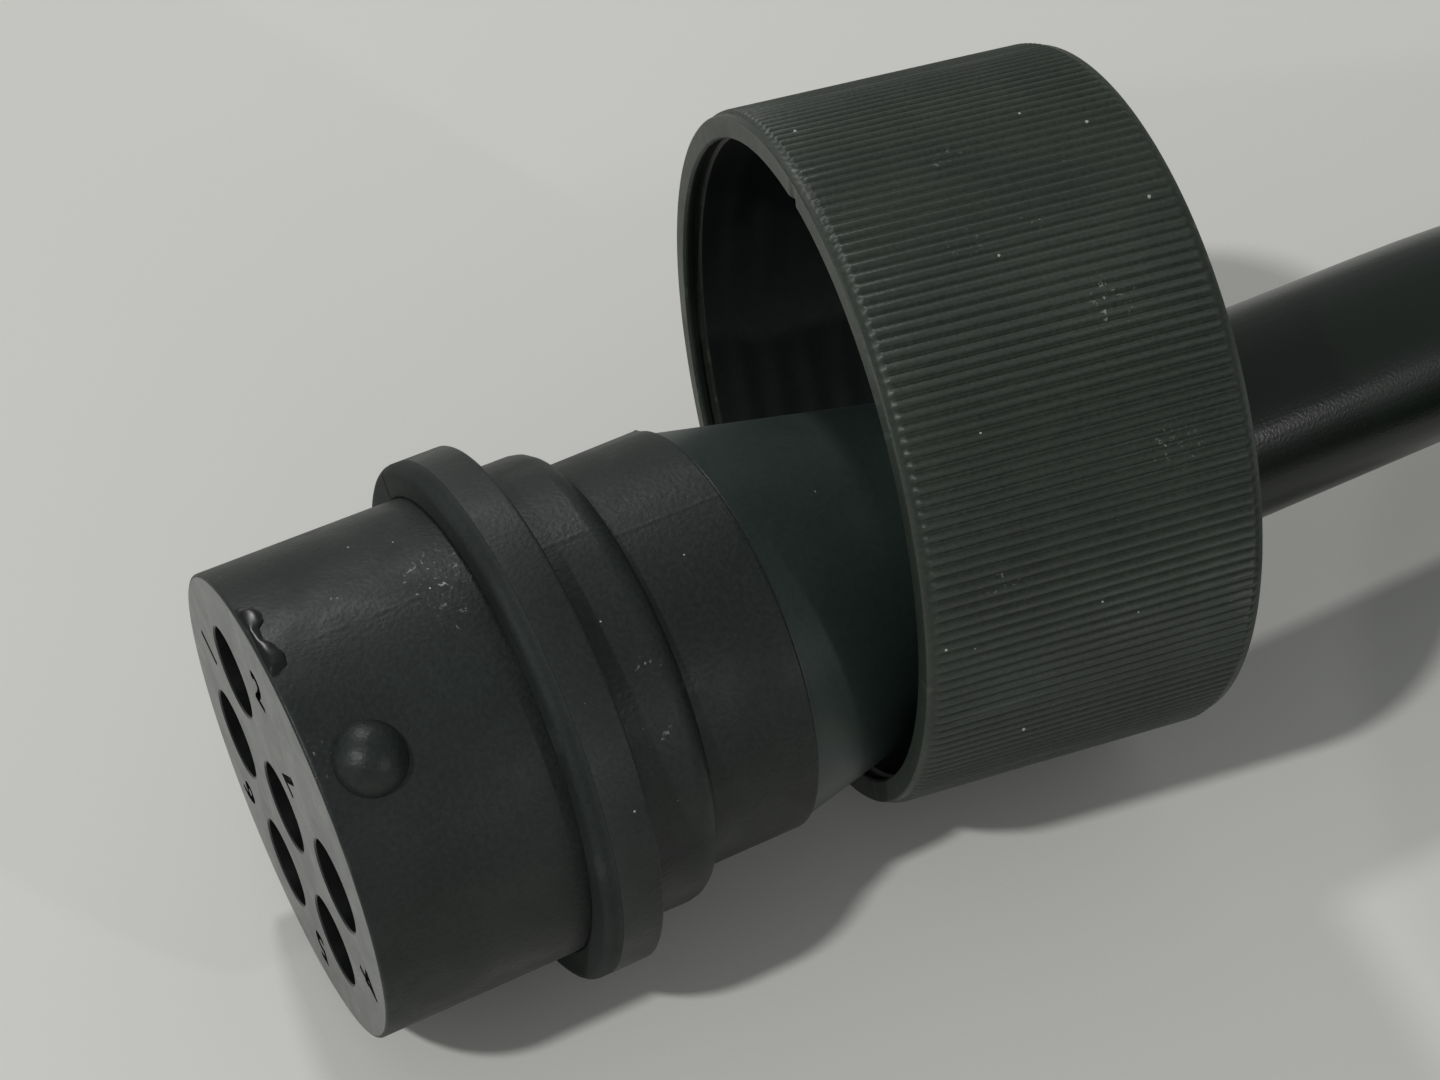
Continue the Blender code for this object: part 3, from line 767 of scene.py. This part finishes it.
def makeContacts(material):
    size = contact
    sleeveFloor = size["start"] + size["boreDepth"]
    barrelFloor = size["end"] - size["barrelDepth"]
    corners = [
        (0, barrelFloor, 0), (size["barrelBore"], barrelFloor, 0.1), (size["barrelBore"], size["end"], 0.1),
        (size["barrel"], size["end"], 0.1), (size["barrel"], size["shoulder"], 0.1),
        (size["sleeve"], size["shoulder"], 0.15),
        (size["sleeve"], size["start"], 0.3), (size["bore"], size["start"], 0.35),
        (size["bore"], sleeveFloor, 0.2),
        (0, sleeveFloor, 0),
    ]
    angles = [step + size["turn"] for step in evenAngles(size["sides"])]
    pattern = newPiece("contact", latheMesh("contact", roundedOutline(corners), angles))
    slot = bmesh.new()
    bmesh.ops.create_cube(slot, size=1)
    slotMesh = bpy.data.meshes.new("slot")
    slot.to_mesh(slotMesh)
    slot.free()
    slotMesh.transform(Matrix.Diagonal((9 * mm, size["slot"] * mm, 2 * size["slotDepth"] * mm, 1)))
    slotMesh.transform(Matrix.Translation((0, 0, size["start"] * mm)))
    carve(pattern, newPiece("slot", slotMesh))
    mesh = pattern.data
    mend(mesh)
    bpy.data.objects.remove(pattern, do_unlink=True)
    for number in poles:
        own = mesh.copy()
        angle, radius = polePlace(number, housing["pitchRadius"])
        own.transform(Matrix.Translation(plugPoint(0, angle, radius) - faceCentre) @ plugPlace)
        shade(own)
        piece = newPiece(f"contact_{number}", own)
        settle(piece, "plug", "contact_brass", material, f"socket_contact_{number}")
    print("contacts made")


cone = {
    "startRadius": 15.82, "endRadius": 9.5, "end": 64.0, "bore": 8.62, "skirt": 12.7, "skirtBore": 11.3,
    "skirtStart": 28.5, "floor": 32.0, "grooveStart": 35.7, "grooveEnd": 42.3, "groove": 10.1,
    "look": {
        "name": "pvc_black_overmoulded", "dark": "#1d2925", "light": "#26322e", "edge": "#3c413e",
        "edgeWearAndSheen": 0.25,
        "roughness": (0.40, 0.50), "cloud": 14.0, "smear": 9.0, "grain": 0.45, "grainHeight": 0.008,
        "speckSpacing": 5.5, "speckSize": 0.16, "dust": "#7d827e", "ior": 1.54,
    },
}


def makeStrainRelief():
    size = cone
    start = housing["end"] + 0.05
    corners = [
        (size["endRadius"], size["end"], 0.45), (size["startRadius"], start, 0.12), (size["skirt"], start, 0),
        (size["skirt"], size["skirtStart"], 0.3), (size["skirtBore"], size["skirtStart"], 0.3),
        (size["skirtBore"], size["floor"], 0.3), (size["bore"], size["floor"], 0.3),
        (size["bore"], size["grooveStart"], 0), (size["groove"], size["grooveStart"], 0),
        (size["groove"], size["grooveEnd"], 0), (size["bore"], size["grooveEnd"], 0),
        (size["bore"], size["end"], 0.25),
    ]
    piece = lathe("relief_cone", corners, plugPlace, steps=144, closed=True)
    settle(piece, "plug", "cone_pvc", mouldedPlastic(size["look"]), "strain_relief")


nut = {
    "radius": nutRadius / mm, "length": nutLength / mm, "hole": 19.1, "wall": 3.2,
    "ribs": 198, "samplesPerRib": 5, "ribDepth": 0.34, "ribStart": 0.42, "ribTail": 0.35, "ribRamp": 0.6,
    "uneven": 0.25,
    "chamfer": 0.3, "mouth": 25.2, "groove": 0.3,
    "leadIn": 2.2, "threadEnd": 16.0, "threadPitch": 3.0, "threadHeight": 0.16, "threadRow": 0.6,
    "nick": (87.0, 25.3),  # angle in degrees and radius, on the rim's inner edge
    # places where the ribs are rubbed: angle in degrees, station and reach in mm
    "rubbed": ((89, 10.8, 1.8), (105.5, 9.3, 1.8), (105, 14.5, 1.3), (120, 18, 2.6), (143, 20, 2.4),
    (158, 6.6, 2.6)),
    "look": {
        "name": "nylon_black_ribbed", "dark": "#1c221b", "light": "#2e352d", "edge": "#596057",
        "edgeWearAndSheen": 0.25, "paintedGrooveShade": 0.1,
        "roughness": (0.42, 0.56), "cloud": 11.0, "smear": 6.0, "grain": 0.34, "grainHeight": 0.03,
        "speckSpacing": 3.0, "speckSize": 0.14, "dust": "#a2a7a0",
    },
    # inside the nut: the same nylon made darker, painted shade in the bore
    "boreShadeLook": {
        "name": "nylon_black_bore_painted_shade", "dark": "#0f1513", "light": "#161c1a", "edge": "#2a2d2b",
        "edgeWearAndSheen": 0.1, "ior": 1.4,
        "roughness": (0.48, 0.58), "cloud": 8.0, "smear": 5.0, "grain": 0.4, "grainHeight": 0.004,
        "speckSpacing": 4.0, "speckSize": 0.12, "dust": "#6f7470",
    },
}


knurlSizes = (
    "Half rib count", "Rib depth", "Rib start", "Rib full", "Rib fade", "Rib end", "Unevenness", "Skin limit",
    "Bore limit", "Thread start", "Thread full", "Thread fade", "Thread end", "Thread pitch", "Thread height",
)

# each step's name, what it does and what it works on; a RISE or FALL is a soft ramp between two limits
knurlSteps = (
    # the skin is cut away between the ribs, and wholly beyond their ends
    ("swing", "MULTIPLY", "angle", "Half rib count"),
    ("wave", "COSINE", "swing"),
    ("crest", "ABSOLUTE", "wave"),
    ("begin", "RISE", "station", "Rib start", "Rib full"),
    ("cease", "FALL", "station", "Rib fade", "Rib end"),
    ("loss", "MULTIPLY", "patchy", "Unevenness"),
    ("left", "SUBTRACT", 1.0, "loss"),
    ("full", "MULTIPLY", "begin", "cease"),
    ("worn", "MULTIPLY", "crest", "left"),
    ("rib", "MULTIPLY", "worn", "full"),
    ("under", "SUBTRACT", "rib", 1.0),
    ("sunk", "MULTIPLY", "under", "Rib depth"),
    ("onSkin", "GREATER_THAN", "radius", "Skin limit"),
    ("skin", "MULTIPLY", "sunk", "onSkin"),
    # the thread stands in from the bore, one ridge to each turn
    ("climb", "DIVIDE", "station", "Thread pitch"),
    ("around", "DIVIDE", "angle", tau),
    ("turns", "SUBTRACT", "climb", "around"),
    ("phase", "FRACT", "turns"),
    ("rise", "RISE", "phase", 0.12, 0.38),
    ("drop", "FALL", "phase", 0.62, 0.88),
    ("runIn", "RISE", "station", "Thread start", "Thread full"),
    ("runOut", "FALL", "station", "Thread fade", "Thread end"),
    ("ridge", "MULTIPLY", "rise", "drop"),
    ("cover", "MULTIPLY", "runIn", "runOut"),
    ("inBore", "LESS_THAN", "radius", "Bore limit"),
    ("shown", "MULTIPLY", "cover", "inBore"),
    ("shape", "MULTIPLY", "ridge", "shown"),
    ("thread", "MULTIPLY", "shape", "Thread height"),
    ("change", "SUBTRACT", "skin", "thread"),
)


def knurlTree():
    # ribs along the skin and a thread in the bore, both set by rule on a turned blank standing on local Z
    tree = bpy.data.node_groups.new("knurlAndThread", "GeometryNodeTree")
    sockets = [("Geometry", "INPUT", "Geometry")] + [(name, "INPUT", "Float") for name in knurlSizes]
    sockets += [("Material", "INPUT", "Material"), ("Geometry", "OUTPUT", "Geometry")]
    for name, way, kind in sockets:
        tree.interface.new_socket(name=name, in_out=way, socket_type=f"NodeSocket{kind}")
    given = addNode(tree, "NodeGroupInput").outputs
    place = addNode(tree, "GeometryNodeInputPosition").outputs[0]
    spot = addNode(tree, "ShaderNodeSeparateXYZ", inputs={0: place}).outputs
    flat = addNode(tree, "ShaderNodeCombineXYZ", inputs={0: spot[0], 1: spot[1]}).outputs[0]
    outward = addNode(tree, "ShaderNodeVectorMath", {"operation": "NORMALIZE"}, {0: flat}).outputs[0]
    known = {name: given[name] for name in knurlSizes}
    known["station"] = spot[2]
    known["radius"] = addNode(tree, "ShaderNodeVectorMath", {"operation": "LENGTH"},
        {0: flat}).outputs["Value"]
    known["angle"] = addNode(tree, "ShaderNodeMath", {"operation": "ARCTAN2"},
        {0: spot[1], 1: spot[0]}).outputs[0]
    known["patchy"] = addNode(tree, "ShaderNodeTexNoise", inputs={
        "Vector": place, "Scale": 300.0, "Detail": 2.0}).outputs[0]
    for name, action, *parts in knurlSteps:
        values = [known.get(part, part) for part in parts]
        if action in ("RISE", "FALL"):
            ends = (0.0, 1.0) if action == "RISE" else (1.0, 0.0)
            step = addNode(tree, "ShaderNodeMapRange", {"interpolation_type": "SMOOTHSTEP"}, {
                "Value": values[0], "From Min": values[1], "From Max": values[2],
                "To Min": ends[0], "To Max": ends[1]})
        else:
            step = addNode(tree, "ShaderNodeMath", {"operation": action}, dict(enumerate(values)))
        known[name] = step.outputs[0]
    move = addNode(tree, "ShaderNodeVectorMath", {"operation": "SCALE"},
        {0: outward, "Scale": known["change"]})
    moved = addNode(tree, "GeometryNodeSetPosition", inputs={
        "Geometry": given["Geometry"], "Offset": move.outputs[0]})
    whole = addNode(tree, "GeometryNodeRealizeInstances", inputs={"Geometry": moved.outputs[0]})
    dressed = addNode(tree, "GeometryNodeSetMaterial", inputs={
        "Geometry": whole.outputs[0], "Material": given["Material"]})
    addNode(tree, "NodeGroupOutput", inputs={"Geometry": dressed.outputs[0]})
    return tree


def skinPoint(angle, station):
    turn = radians(angle)
    return nutPlace @ Vector((nutRadius * cos(turn), nutRadius * sin(turn), station * mm))


def makeNut():
    size = nut
    corners = [
        (size["mouth"] + 0.15, 0, 0.08), (size["mouth"], 0.25, 0.1), (size["mouth"], 0.8, 0.06),
        (size["mouth"] + size["groove"], 0.95, 0.06), (size["mouth"] + size["groove"], 1.45, 0.06),
        (size["mouth"], 1.6, 0.06),
        (size["mouth"], size["length"] - size["wall"], 0.3),
        (size["hole"], size["length"] - size["wall"], 0.25), (size["hole"], size["length"], 0.3),
        (size["radius"] - size["chamfer"] - 0.2, size["length"], 0.12),
        (size["radius"], size["length"] - size["chamfer"], 0),
        (size["radius"], 0.12, 0), (size["radius"] - size["ribDepth"] - 0.1, 0, 0.0),
    ]
    outline = roundedOutline(corners, closed=True)
    # extra rows where the bore is threaded and where the ribs rise and fade
    row = size["threadRow"]
    count = ceil((size["threadEnd"] - size["leadIn"]) / row)
    bore = [size["leadIn"] + row * step for step in range(count + 1)]
    fades = [part * size["ribRamp"] / 4 for part in range(5)]
    ribEnd = size["length"] - size["ribTail"]
    skin = [ribEnd - fade for fade in fades] + [5.0 * step for step in range(4, 0, -1)]
    skin += [size["ribStart"] + fade for fade in reversed(fades)]
    rowGap = 1e-5  # no extra row comes nearer than this to the outline's own points, in metres
    full = []
    for here, after in zip(outline, outline[1:] + outline[:1]):
        full.append(here)
        for radius, rows in ((size["mouth"], bore), (size["radius"], skin)):
            if abs(here[0] - radius * mm) < nearly and abs(after[0] - radius * mm) < nearly:
                low, high = sorted((here[1], after[1]))
                inside = [station for station in rows if low + rowGap < station * mm < high - rowGap]
                full += [(radius * mm, station * mm) for station in inside]
    mesh = latheMesh("coupling_nut", full, evenAngles(size["ribs"] * size["samplesPerRib"]), closed=True)
    size["look"]["scuffs"] = [(skinPoint(angle, station), reach) for angle, station, reach in size["rubbed"]]
    piece = newPiece("nut_blank", mesh)
    tree = knurlTree()
    knurl = piece.modifiers.new("Knurl", "NODES")
    knurl.node_group = tree
    values = {
        "Half rib count": size["ribs"] / 2, "Rib depth": size["ribDepth"] * mm, "Unevenness": size["uneven"],
        "Rib start": size["ribStart"] * mm, "Rib full": (size["ribStart"] + size["ribRamp"]) * mm,
        "Rib fade": (ribEnd - size["ribRamp"]) * mm, "Rib end": ribEnd * mm,
        "Skin limit": (size["radius"] - 0.1) * mm, "Bore limit": (size["radius"] - 1.5) * mm,
        "Thread start": size["leadIn"] * mm, "Thread full": (size["leadIn"] + 1.2) * mm,
        "Thread fade": (size["threadEnd"] - 1.2) * mm, "Thread end": size["threadEnd"] * mm,
        "Thread pitch": size["threadPitch"] * mm, "Thread height": size["threadHeight"] * mm,
        "Material": mouldedPlastic(size["look"]),
    }
    for item in tree.interface.items_tree:
        if item.in_out == "INPUT" and item.name in values:
            value = values[item.name]
            knurl[item.identifier] = float(value) if isinstance(value, (int, float)) else value
    shaped = frozenMesh(piece)
    bpy.data.objects.remove(piece, do_unlink=True)
    shaped.transform(nutPlace)
    angle, radius = radians(size["nick"][0]), size["nick"][1] * mm
    nick = nutPlace @ Vector((radius * cos(angle), radius * sin(angle), 0.1 * mm))
    dent(shaped, nick, 0.8 * mm, spinAxis * 0.3 * mm)
    shade(shaped)
    result = newPiece("nut", shaped)
    settle(result, "coupling_nut", "black_nylon_nut", values["Material"], "coupling_nut")
    shaped.materials.append(mouldedPlastic(size["boreShadeLook"]))
    for face in shaped.polygons:
        offset = face.center - nutRim
        depth = offset.dot(spinAxis)
        radius = (offset - spinAxis * depth).length / mm
        inBore = 0.5 * mm < depth < (size["length"] - 1) * mm and radius < size["mouth"] + 0.1
        # the bore's faces take the darker copy with the painted shade
        face.material_index = 1 if inBore else 0
    print("nut made:", len(shaped.polygons), "faces")


washer = {
    "bore": 19.4,
    "look": {
        "name": "acetal_black_turned", "dark": "#141616", "light": "#191b1b", "edge": "#3a3d3c",
        "edgeWearAndSheen": 0.2,
        "roughness": (0.32, 0.42), "cloud": 6.0, "smear": 4.0, "grain": 0.4, "grainHeight": 0.006,
        "speckSpacing": 5.0, "speckSize": 0.12, "dust": "#7c807c", "ior": 1.48,
    },
}


def makeWasher():
    low, high, outer = alongAxis("slip_washer")
    low, high, outer = (low - rimStation) / mm, (high - rimStation) / mm, outer / mm
    corners = [(outer, high, 0.15), (outer, low, 0.25), (washer["bore"], low, 0.25),
        (washer["bore"], high, 0.15)]
    piece = lathe("slip_washer_ring", corners, nutPlace, steps=128, closed=True)
    settle(piece, "slip_washer", "washer_acetal", mouldedPlastic(washer["look"]), "slip_washer")


coilLow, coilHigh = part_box("cable_coil")
cable = {
    "radius": (coilHigh.z - coilLow.z) / 2, "turns": 2, "pitch": 17.3 * mm, "wall": 1.85 * mm,
    "dropStart": 100 * mm, "step": 4 * mm, "sides": 48, "recess": 1.0 * mm,
    "stepsPerTurn": 72,
}
cable["centre"] = Vector(((coilLow.x + coilHigh.x) / 2, (coilLow.y + coilHigh.y) / 2,
    (coilLow.z + coilHigh.z) / 2))
cable["outerTurn"] = (coilHigh.x - coilLow.x) / 2 - cable["radius"]
cable["innerTurn"] = cable["outerTurn"] - cable["pitch"] * cable["turns"]
cable["exit"] = plugPoint(cone["end"] + 0.02, 0, 0)


def cableRoute():
    # straight out of the cone, down to the table, then two flat turns side by side
    first, centre = cable["exit"], cable["centre"]
    run = centre.x - first.x
    count = round(run / cable["step"])
    points = []
    for index in range(count):
        away = run * index / count
        fall = smooth(away + cone["end"] * mm, cable["dropStart"], centre.x - faceCentre.x)
        sideways = (centre.y + cable["outerTurn"] - first.y) * smooth(away / run, 0, 1)
        points.append(Vector((first.x + away, first.y + sideways, first.z + (centre.z - first.z) * fall)))
    steps = cable["stepsPerTurn"] * cable["turns"]
    for index in range(steps + 1):
        turn = tau * cable["turns"] * index / steps
        radius = cable["outerTurn"] - cable["pitch"] * turn / tau
        points.append(centre + Vector((radius * sin(turn), radius * cos(turn), 0)))
    return points


def sheathMaterial():
    # extruded rubber sheath: smooth and a little glossy, with faint lines along it and dusty smears
    material, tree, shader, _ = startMaterial("rubber_sheath_extruded", 0.34, ior=1.45)
    path = addNode(tree, "ShaderNodeUVMap").outputs[0]
    long = addNode(tree, "ShaderNodeMapping", inputs={"Vector": path,
        "Scale": (1 / (0.9 * mm), 1 / (60 * mm), 1.0)})
    lines = addNode(tree, "ShaderNodeTexNoise",
        inputs={"Vector": long.outputs[0], "Scale": 1.0, "Detail": 3.0})
    blotch = addNode(tree, "ShaderNodeMapping",
        inputs={"Vector": path, "Scale": (1 / (9 * mm), 1 / (22 * mm), 1.0)})
    smear = addNode(tree, "ShaderNodeTexNoise",
        inputs={"Vector": blotch.outputs[0], "Scale": 1.0, "Detail": 5.0})
    tint = addNode(tree, "ShaderNodeMix", {"data_type": "RGBA"}, {
        0: smear.outputs["Fac"], 6: toLinear("#0c120d"), 7: toLinear("#161e18")}).outputs[2]
    gloss = addNode(tree, "ShaderNodeMapRange", inputs={
        "Value": smear.outputs["Fac"], "From Min": 0.3, "From Max": 0.7, "To Min": 0.24,
        "To Max": 0.34}).outputs[0]
    grain = addNode(tree, "ShaderNodeTexNoise",
        inputs={"Vector": path, "Scale": 1 / (0.28 * mm), "Detail": 3.0})
    height = addNode(tree, "ShaderNodeMath", {"operation": "ADD"},
        {0: lines.outputs["Fac"], 1: grain.outputs["Fac"]}).outputs[0]
    bump = addNode(tree, "ShaderNodeBump", inputs={"Height": height, "Distance": 0.022 * mm, "Strength": 1.0})
    feed(tree, shader, {"Base Color": tint, "Roughness": gloss, "Normal": bump.outputs["Normal"]})
    return material


def makeCable(material):
    route = cableRoute()
    radius = cable["radius"]
    inner = (radius - cable["wall"]) / radius
    ends = [(0.985, 0.10 * mm), (0.95, 0.14 * mm), (inner + 0.01, 0.14 * mm), (inner, 0.10 * mm),
        (inner - 0.005, -cable["recess"])]
    piece = sweep("cable", route, circle(radius, cable["sides"]), ends=ends)
    settle(piece, "plug", "cable_rubber", material, "cable_run", "cable_coil")


tie = {"angles": (120.0, 240.0), "width": 9.0 * mm, "thickness": 0.95 * mm, "slack": 0.12 * mm}


def strapMaterial():
    # woven strap: fuzzy loops in rows along it and across it
    material, tree, shader, _ = startMaterial("nylon_strap_woven", 0.85, ior=1.5)
    shader.inputs["Sheen Weight"].default_value = 0.25
    path = addNode(tree, "ShaderNodeUVMap").outputs[0]
    across, along = [addNode(tree, "ShaderNodeTexWave", {"bands_direction": direction}, {
        "Vector": path, "Scale": 1 / (2.4 * mm), "Distortion": 1.2,
        "Detail Scale": 4.0}) for direction in "XY"]
    weave = addNode(tree, "ShaderNodeMath", {"operation": "MULTIPLY"}, {
        0: across.outputs["Fac"], 1: along.outputs["Fac"]}).outputs[0]
    tint = addNode(tree, "ShaderNodeMix", {"data_type": "RGBA"}, {
        0: weave, 6: toLinear("#161817"), 7: toLinear("#2d302f")}).outputs[2]
    bump = addNode(tree, "ShaderNodeBump", inputs={"Height": weave, "Distance": 0.25 * mm, "Strength": 0.9})
    feed(tree, shader, {"Base Color": tint, "Normal": bump.outputs["Normal"]})
    return material


def strapSection(width, thickness):
    # flat strip with rounded edges; its second coordinate points off the cable
    half, edge = width / 2, thickness * 0.35
    points = []
    for x, y, start in ((half - edge, edge, -90), (half - edge, thickness - edge, 0),
                        (edge - half, thickness - edge, 90), (edge - half, edge, 180)):
        turns = [radians(start + 30 * part) for part in range(4)]
        points += [(x + edge * cos(turn), y + edge * sin(turn)) for turn in turns]
    return points


def makeTies(material):
    pieces = []
    for number, angle in enumerate(tie["angles"], start=1):
        turn = radians(angle)
        outward = Vector((sin(turn), cos(turn), 0))
        laps = [turn + tau * lap for lap in range(cable["turns"])]
        radii = [cable["outerTurn"] - cable["pitch"] * lap / tau for lap in laps]
        margin = cable["radius"] + tie["slack"]
        far, near = max(radii), min(radii)
        loop = []
        for step in range(19):
            swing = pi / 2 - pi * step / 18
            loop.append((far + margin * cos(swing), margin * sin(swing)))
        loop += [(far + (near - far) * part / 8, -margin) for part in range(1, 8)]
        for step in range(19):
            swing = -pi / 2 - pi * step / 18
            loop.append((near + margin * cos(swing), margin * sin(swing)))
        loop += [(near + (far - near) * part / 8, margin) for part in range(1, 8)]
        points = [cable["centre"] + outward * x + Vector((0, 0, y)) for x, y in loop]
        section = strapSection(tie["width"], tie["thickness"])
        strap = sweep("strap", points, section, start=Vector((0, 0, 1)), closed=True)
        # the free end lies on top of the strap and over its outer side
        lift = margin + tie["thickness"] + 0.05 * mm
        tail = [(near + (far - near) * part / 10, lift) for part in range(2, 11)]
        tail += [(far + lift * sin(radians(8 * part)), lift * cos(radians(8 * part))) for part in range(1, 9)]
        tailPoints = [cable["centre"] + outward * x + Vector((0, 0, y)) for x, y in tail]
        flap = sweep("flap", tailPoints, section, start=Vector((0, 0, 1)))
        whole = joined(f"coil_strap_{number}", [strap.data, flap.data])
        for part in (strap, flap):
            bpy.data.objects.remove(part, do_unlink=True)
        shade(whole.data)
        pieces.append(settle(whole, "plug", "tie_fabric", material, f"coil_tie_{number}"))
    return pieces


core = {
    "radius": 1.7 * mm, "layRadius": 4.6 * mm, "heading": -38.0, "steps": 40,
    "colours": {1: "#6b4526", 2: "#1f4fa0", 4: "#232423", 5: "#8d9092", 6: "#a5281f", 7: "#3f8a2f"},
    "ferruleRadius": 1.2 * mm, "ferruleLength": 9.0 * mm,
    "crimps": (1.4, 3.0, 4.6, 6.2), "crimpDepth": 0.14,  # stations and depth in mm
}


def coreMaterial(number):
    # coloured PVC insulation: even, softly glossy, with a trace of chalk from the cable's filler
    material, tree, shader, spot = startMaterial(f"pvc_core_{number}", 0.38, ior=1.54)
    chalk = addNode(tree, "ShaderNodeTexNoise",
        inputs={"Vector": spot, "Scale": 1 / (1.8 * mm), "Detail": 4.0})
    cover = addNode(tree, "ShaderNodeMapRange", inputs={
        "Value": chalk.outputs["Fac"], "From Min": 0.5, "From Max": 0.8, "To Max": 0.35}).outputs[0]
    tint = addNode(tree, "ShaderNodeMix", {"data_type": "RGBA"}, {
        0: cover, 6: toLinear(core["colours"][number]), 7: toLinear("#b9b8b2")}).outputs[2]
    gloss = addNode(tree, "ShaderNodeMapRange",
        inputs={"Value": chalk.outputs["Fac"], "To Min": 0.3, "To Max": 0.55}).outputs[0]
    feed(tree, shader, {"Base Color": tint, "Roughness": gloss})
    return material


def copperMaterial():
    # tinned copper: pale, with a soft, slightly uneven shine
    material, tree, shader, spot = startMaterial("copper_tinned", 0.30, metallic=1.0)
    haze, tint = hazeTint(tree, spot, 0.8, 3.0, "#b9b6ae", "#dedbd3")
    gloss = addNode(tree, "ShaderNodeMapRange",
        inputs={"Value": haze, "To Min": 0.2, "To Max": 0.42}).outputs[0]
    feed(tree, shader, {"Base Color": tint, "Roughness": gloss})
    return material


def curvePoint(first, second, third, last, t):
    s = 1 - t
    return first * s**3 + second * 3 * s * s * t + third * 3 * s * t * t + last * t**3


def makeTails():
    pieces = []
    heading = Vector((cos(radians(core["heading"])), sin(radians(core["heading"])), 0))
    copper = copperMaterial()
    for number in poles:
        material = coreMaterial(number)
        wire = frame["nodes"][f"core_wire_{number}"].data
        wire.materials.clear()
        wire.materials.append(material)
        low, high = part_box(f"core_ferrule_{number}")
        # the ferrule's two ends, from its box and its heading
        middle = (low + high) / 2
        first = middle - heading * core["ferruleLength"] / 2
        last = first - heading * 0.15 * mm
        angle, radius = polePlace(number, core["layRadius"] / mm)
        start = Vector((cable["centre"].x - 1.0 * mm, cable["centre"].y + cable["innerTurn"],
            cable["centre"].z))
        start += Vector((0, radius * mm * cos(radians(angle)), radius * mm * sin(radians(angle))))
        reach = (last - start).length
        second = start + Vector((reach * 0.4, 0, 0))
        third = last - heading * reach * 0.35
        points = [curvePoint(start, second, third, last, part / core["steps"])
                  for part in range(core["steps"] + 1)]
        ends = [(0.96, 0.06 * mm), (0.86, 0.10 * mm)]
        tail = sweep(f"tail_{number}", points, circle(core["radius"], 20), ends=ends)
        pieces.append(settle(tail, "plug", "core_pvc", material, f"core_tail_{number}"))
        thin, length = core["ferruleRadius"] / mm, core["ferruleLength"] / mm
        corners = [(0, 0, 0), (thin, 0, 0.1)]
        waist = thin - core["crimpDepth"]
        for place in core["crimps"]:
            corners += [(thin, place, 0.12), (waist, place + 0.35, 0.15), (thin, place + 0.7, 0.12)]
        corners += [(thin, length - 0.7, 0.2), (thin * 0.8, length, 0.15), (0, length, 0)]
        place = heading.to_track_quat("Z", "Y").to_matrix().to_4x4()
        place.translation = first
        ferrule = lathe(f"ferrule_{number}", corners, place, steps=28)
        pieces.append(settle(ferrule, "plug", "tinned_copper", copper, f"core_ferrule_{number}"))
    return pieces


def nylonMaterial():
    # uncoloured nylon plate: milky, waxy, with light scattered just under its skin
    material, tree, shader, spot = startMaterial("nylon_natural_moulded", 0.42, ior=1.53)
    shader.inputs["Subsurface Weight"].default_value = 0.2
    shader.inputs["Subsurface Scale"].default_value = 0.6 * mm
    _, tint = hazeTint(tree, spot, 5, 3.0, "#cbc6b8", "#dcd8cb")
    feed(tree, shader, {"Base Color": tint})
    return material


stripped = {
    "name": "rubber_sheath_stripped", "dark": "#0f1410", "light": "#1a211c", "edge": "#383d39",
    "edgeWearAndSheen": 0.2,
    "roughness": (0.36, 0.48), "cloud": 8.0, "smear": 6.0, "grain": 0.4, "grainHeight": 0.02,
    "speckSpacing": 5.0, "speckSize": 0.1, "dust": "#6c716c",
}


def dressHidden(brass):
    # the CAD nodes inside the plug keep their shapes and get real finishes
    rubber = mouldedPlastic(stripped)
    for node, material in (("contact_retainer", nylonMaterial()), ("cable_grip", brass),
            ("cable_sheath_end", rubber)):
        frame["nodes"][node].data.materials.clear()
        frame["nodes"][node].data.materials.append(material)


makeCamera()
makeStudio()
print("camera and studio ready")
brass = brassMaterial()
onCable = makeTies(strapMaterial()) + makeTails()
makeCable(sheathMaterial())
makeHousing()
makeSeal()
makeGateScar()
makeContacts(brass)
makeStrainRelief()
makeNut()
makeWasher()
dressHidden(brass)
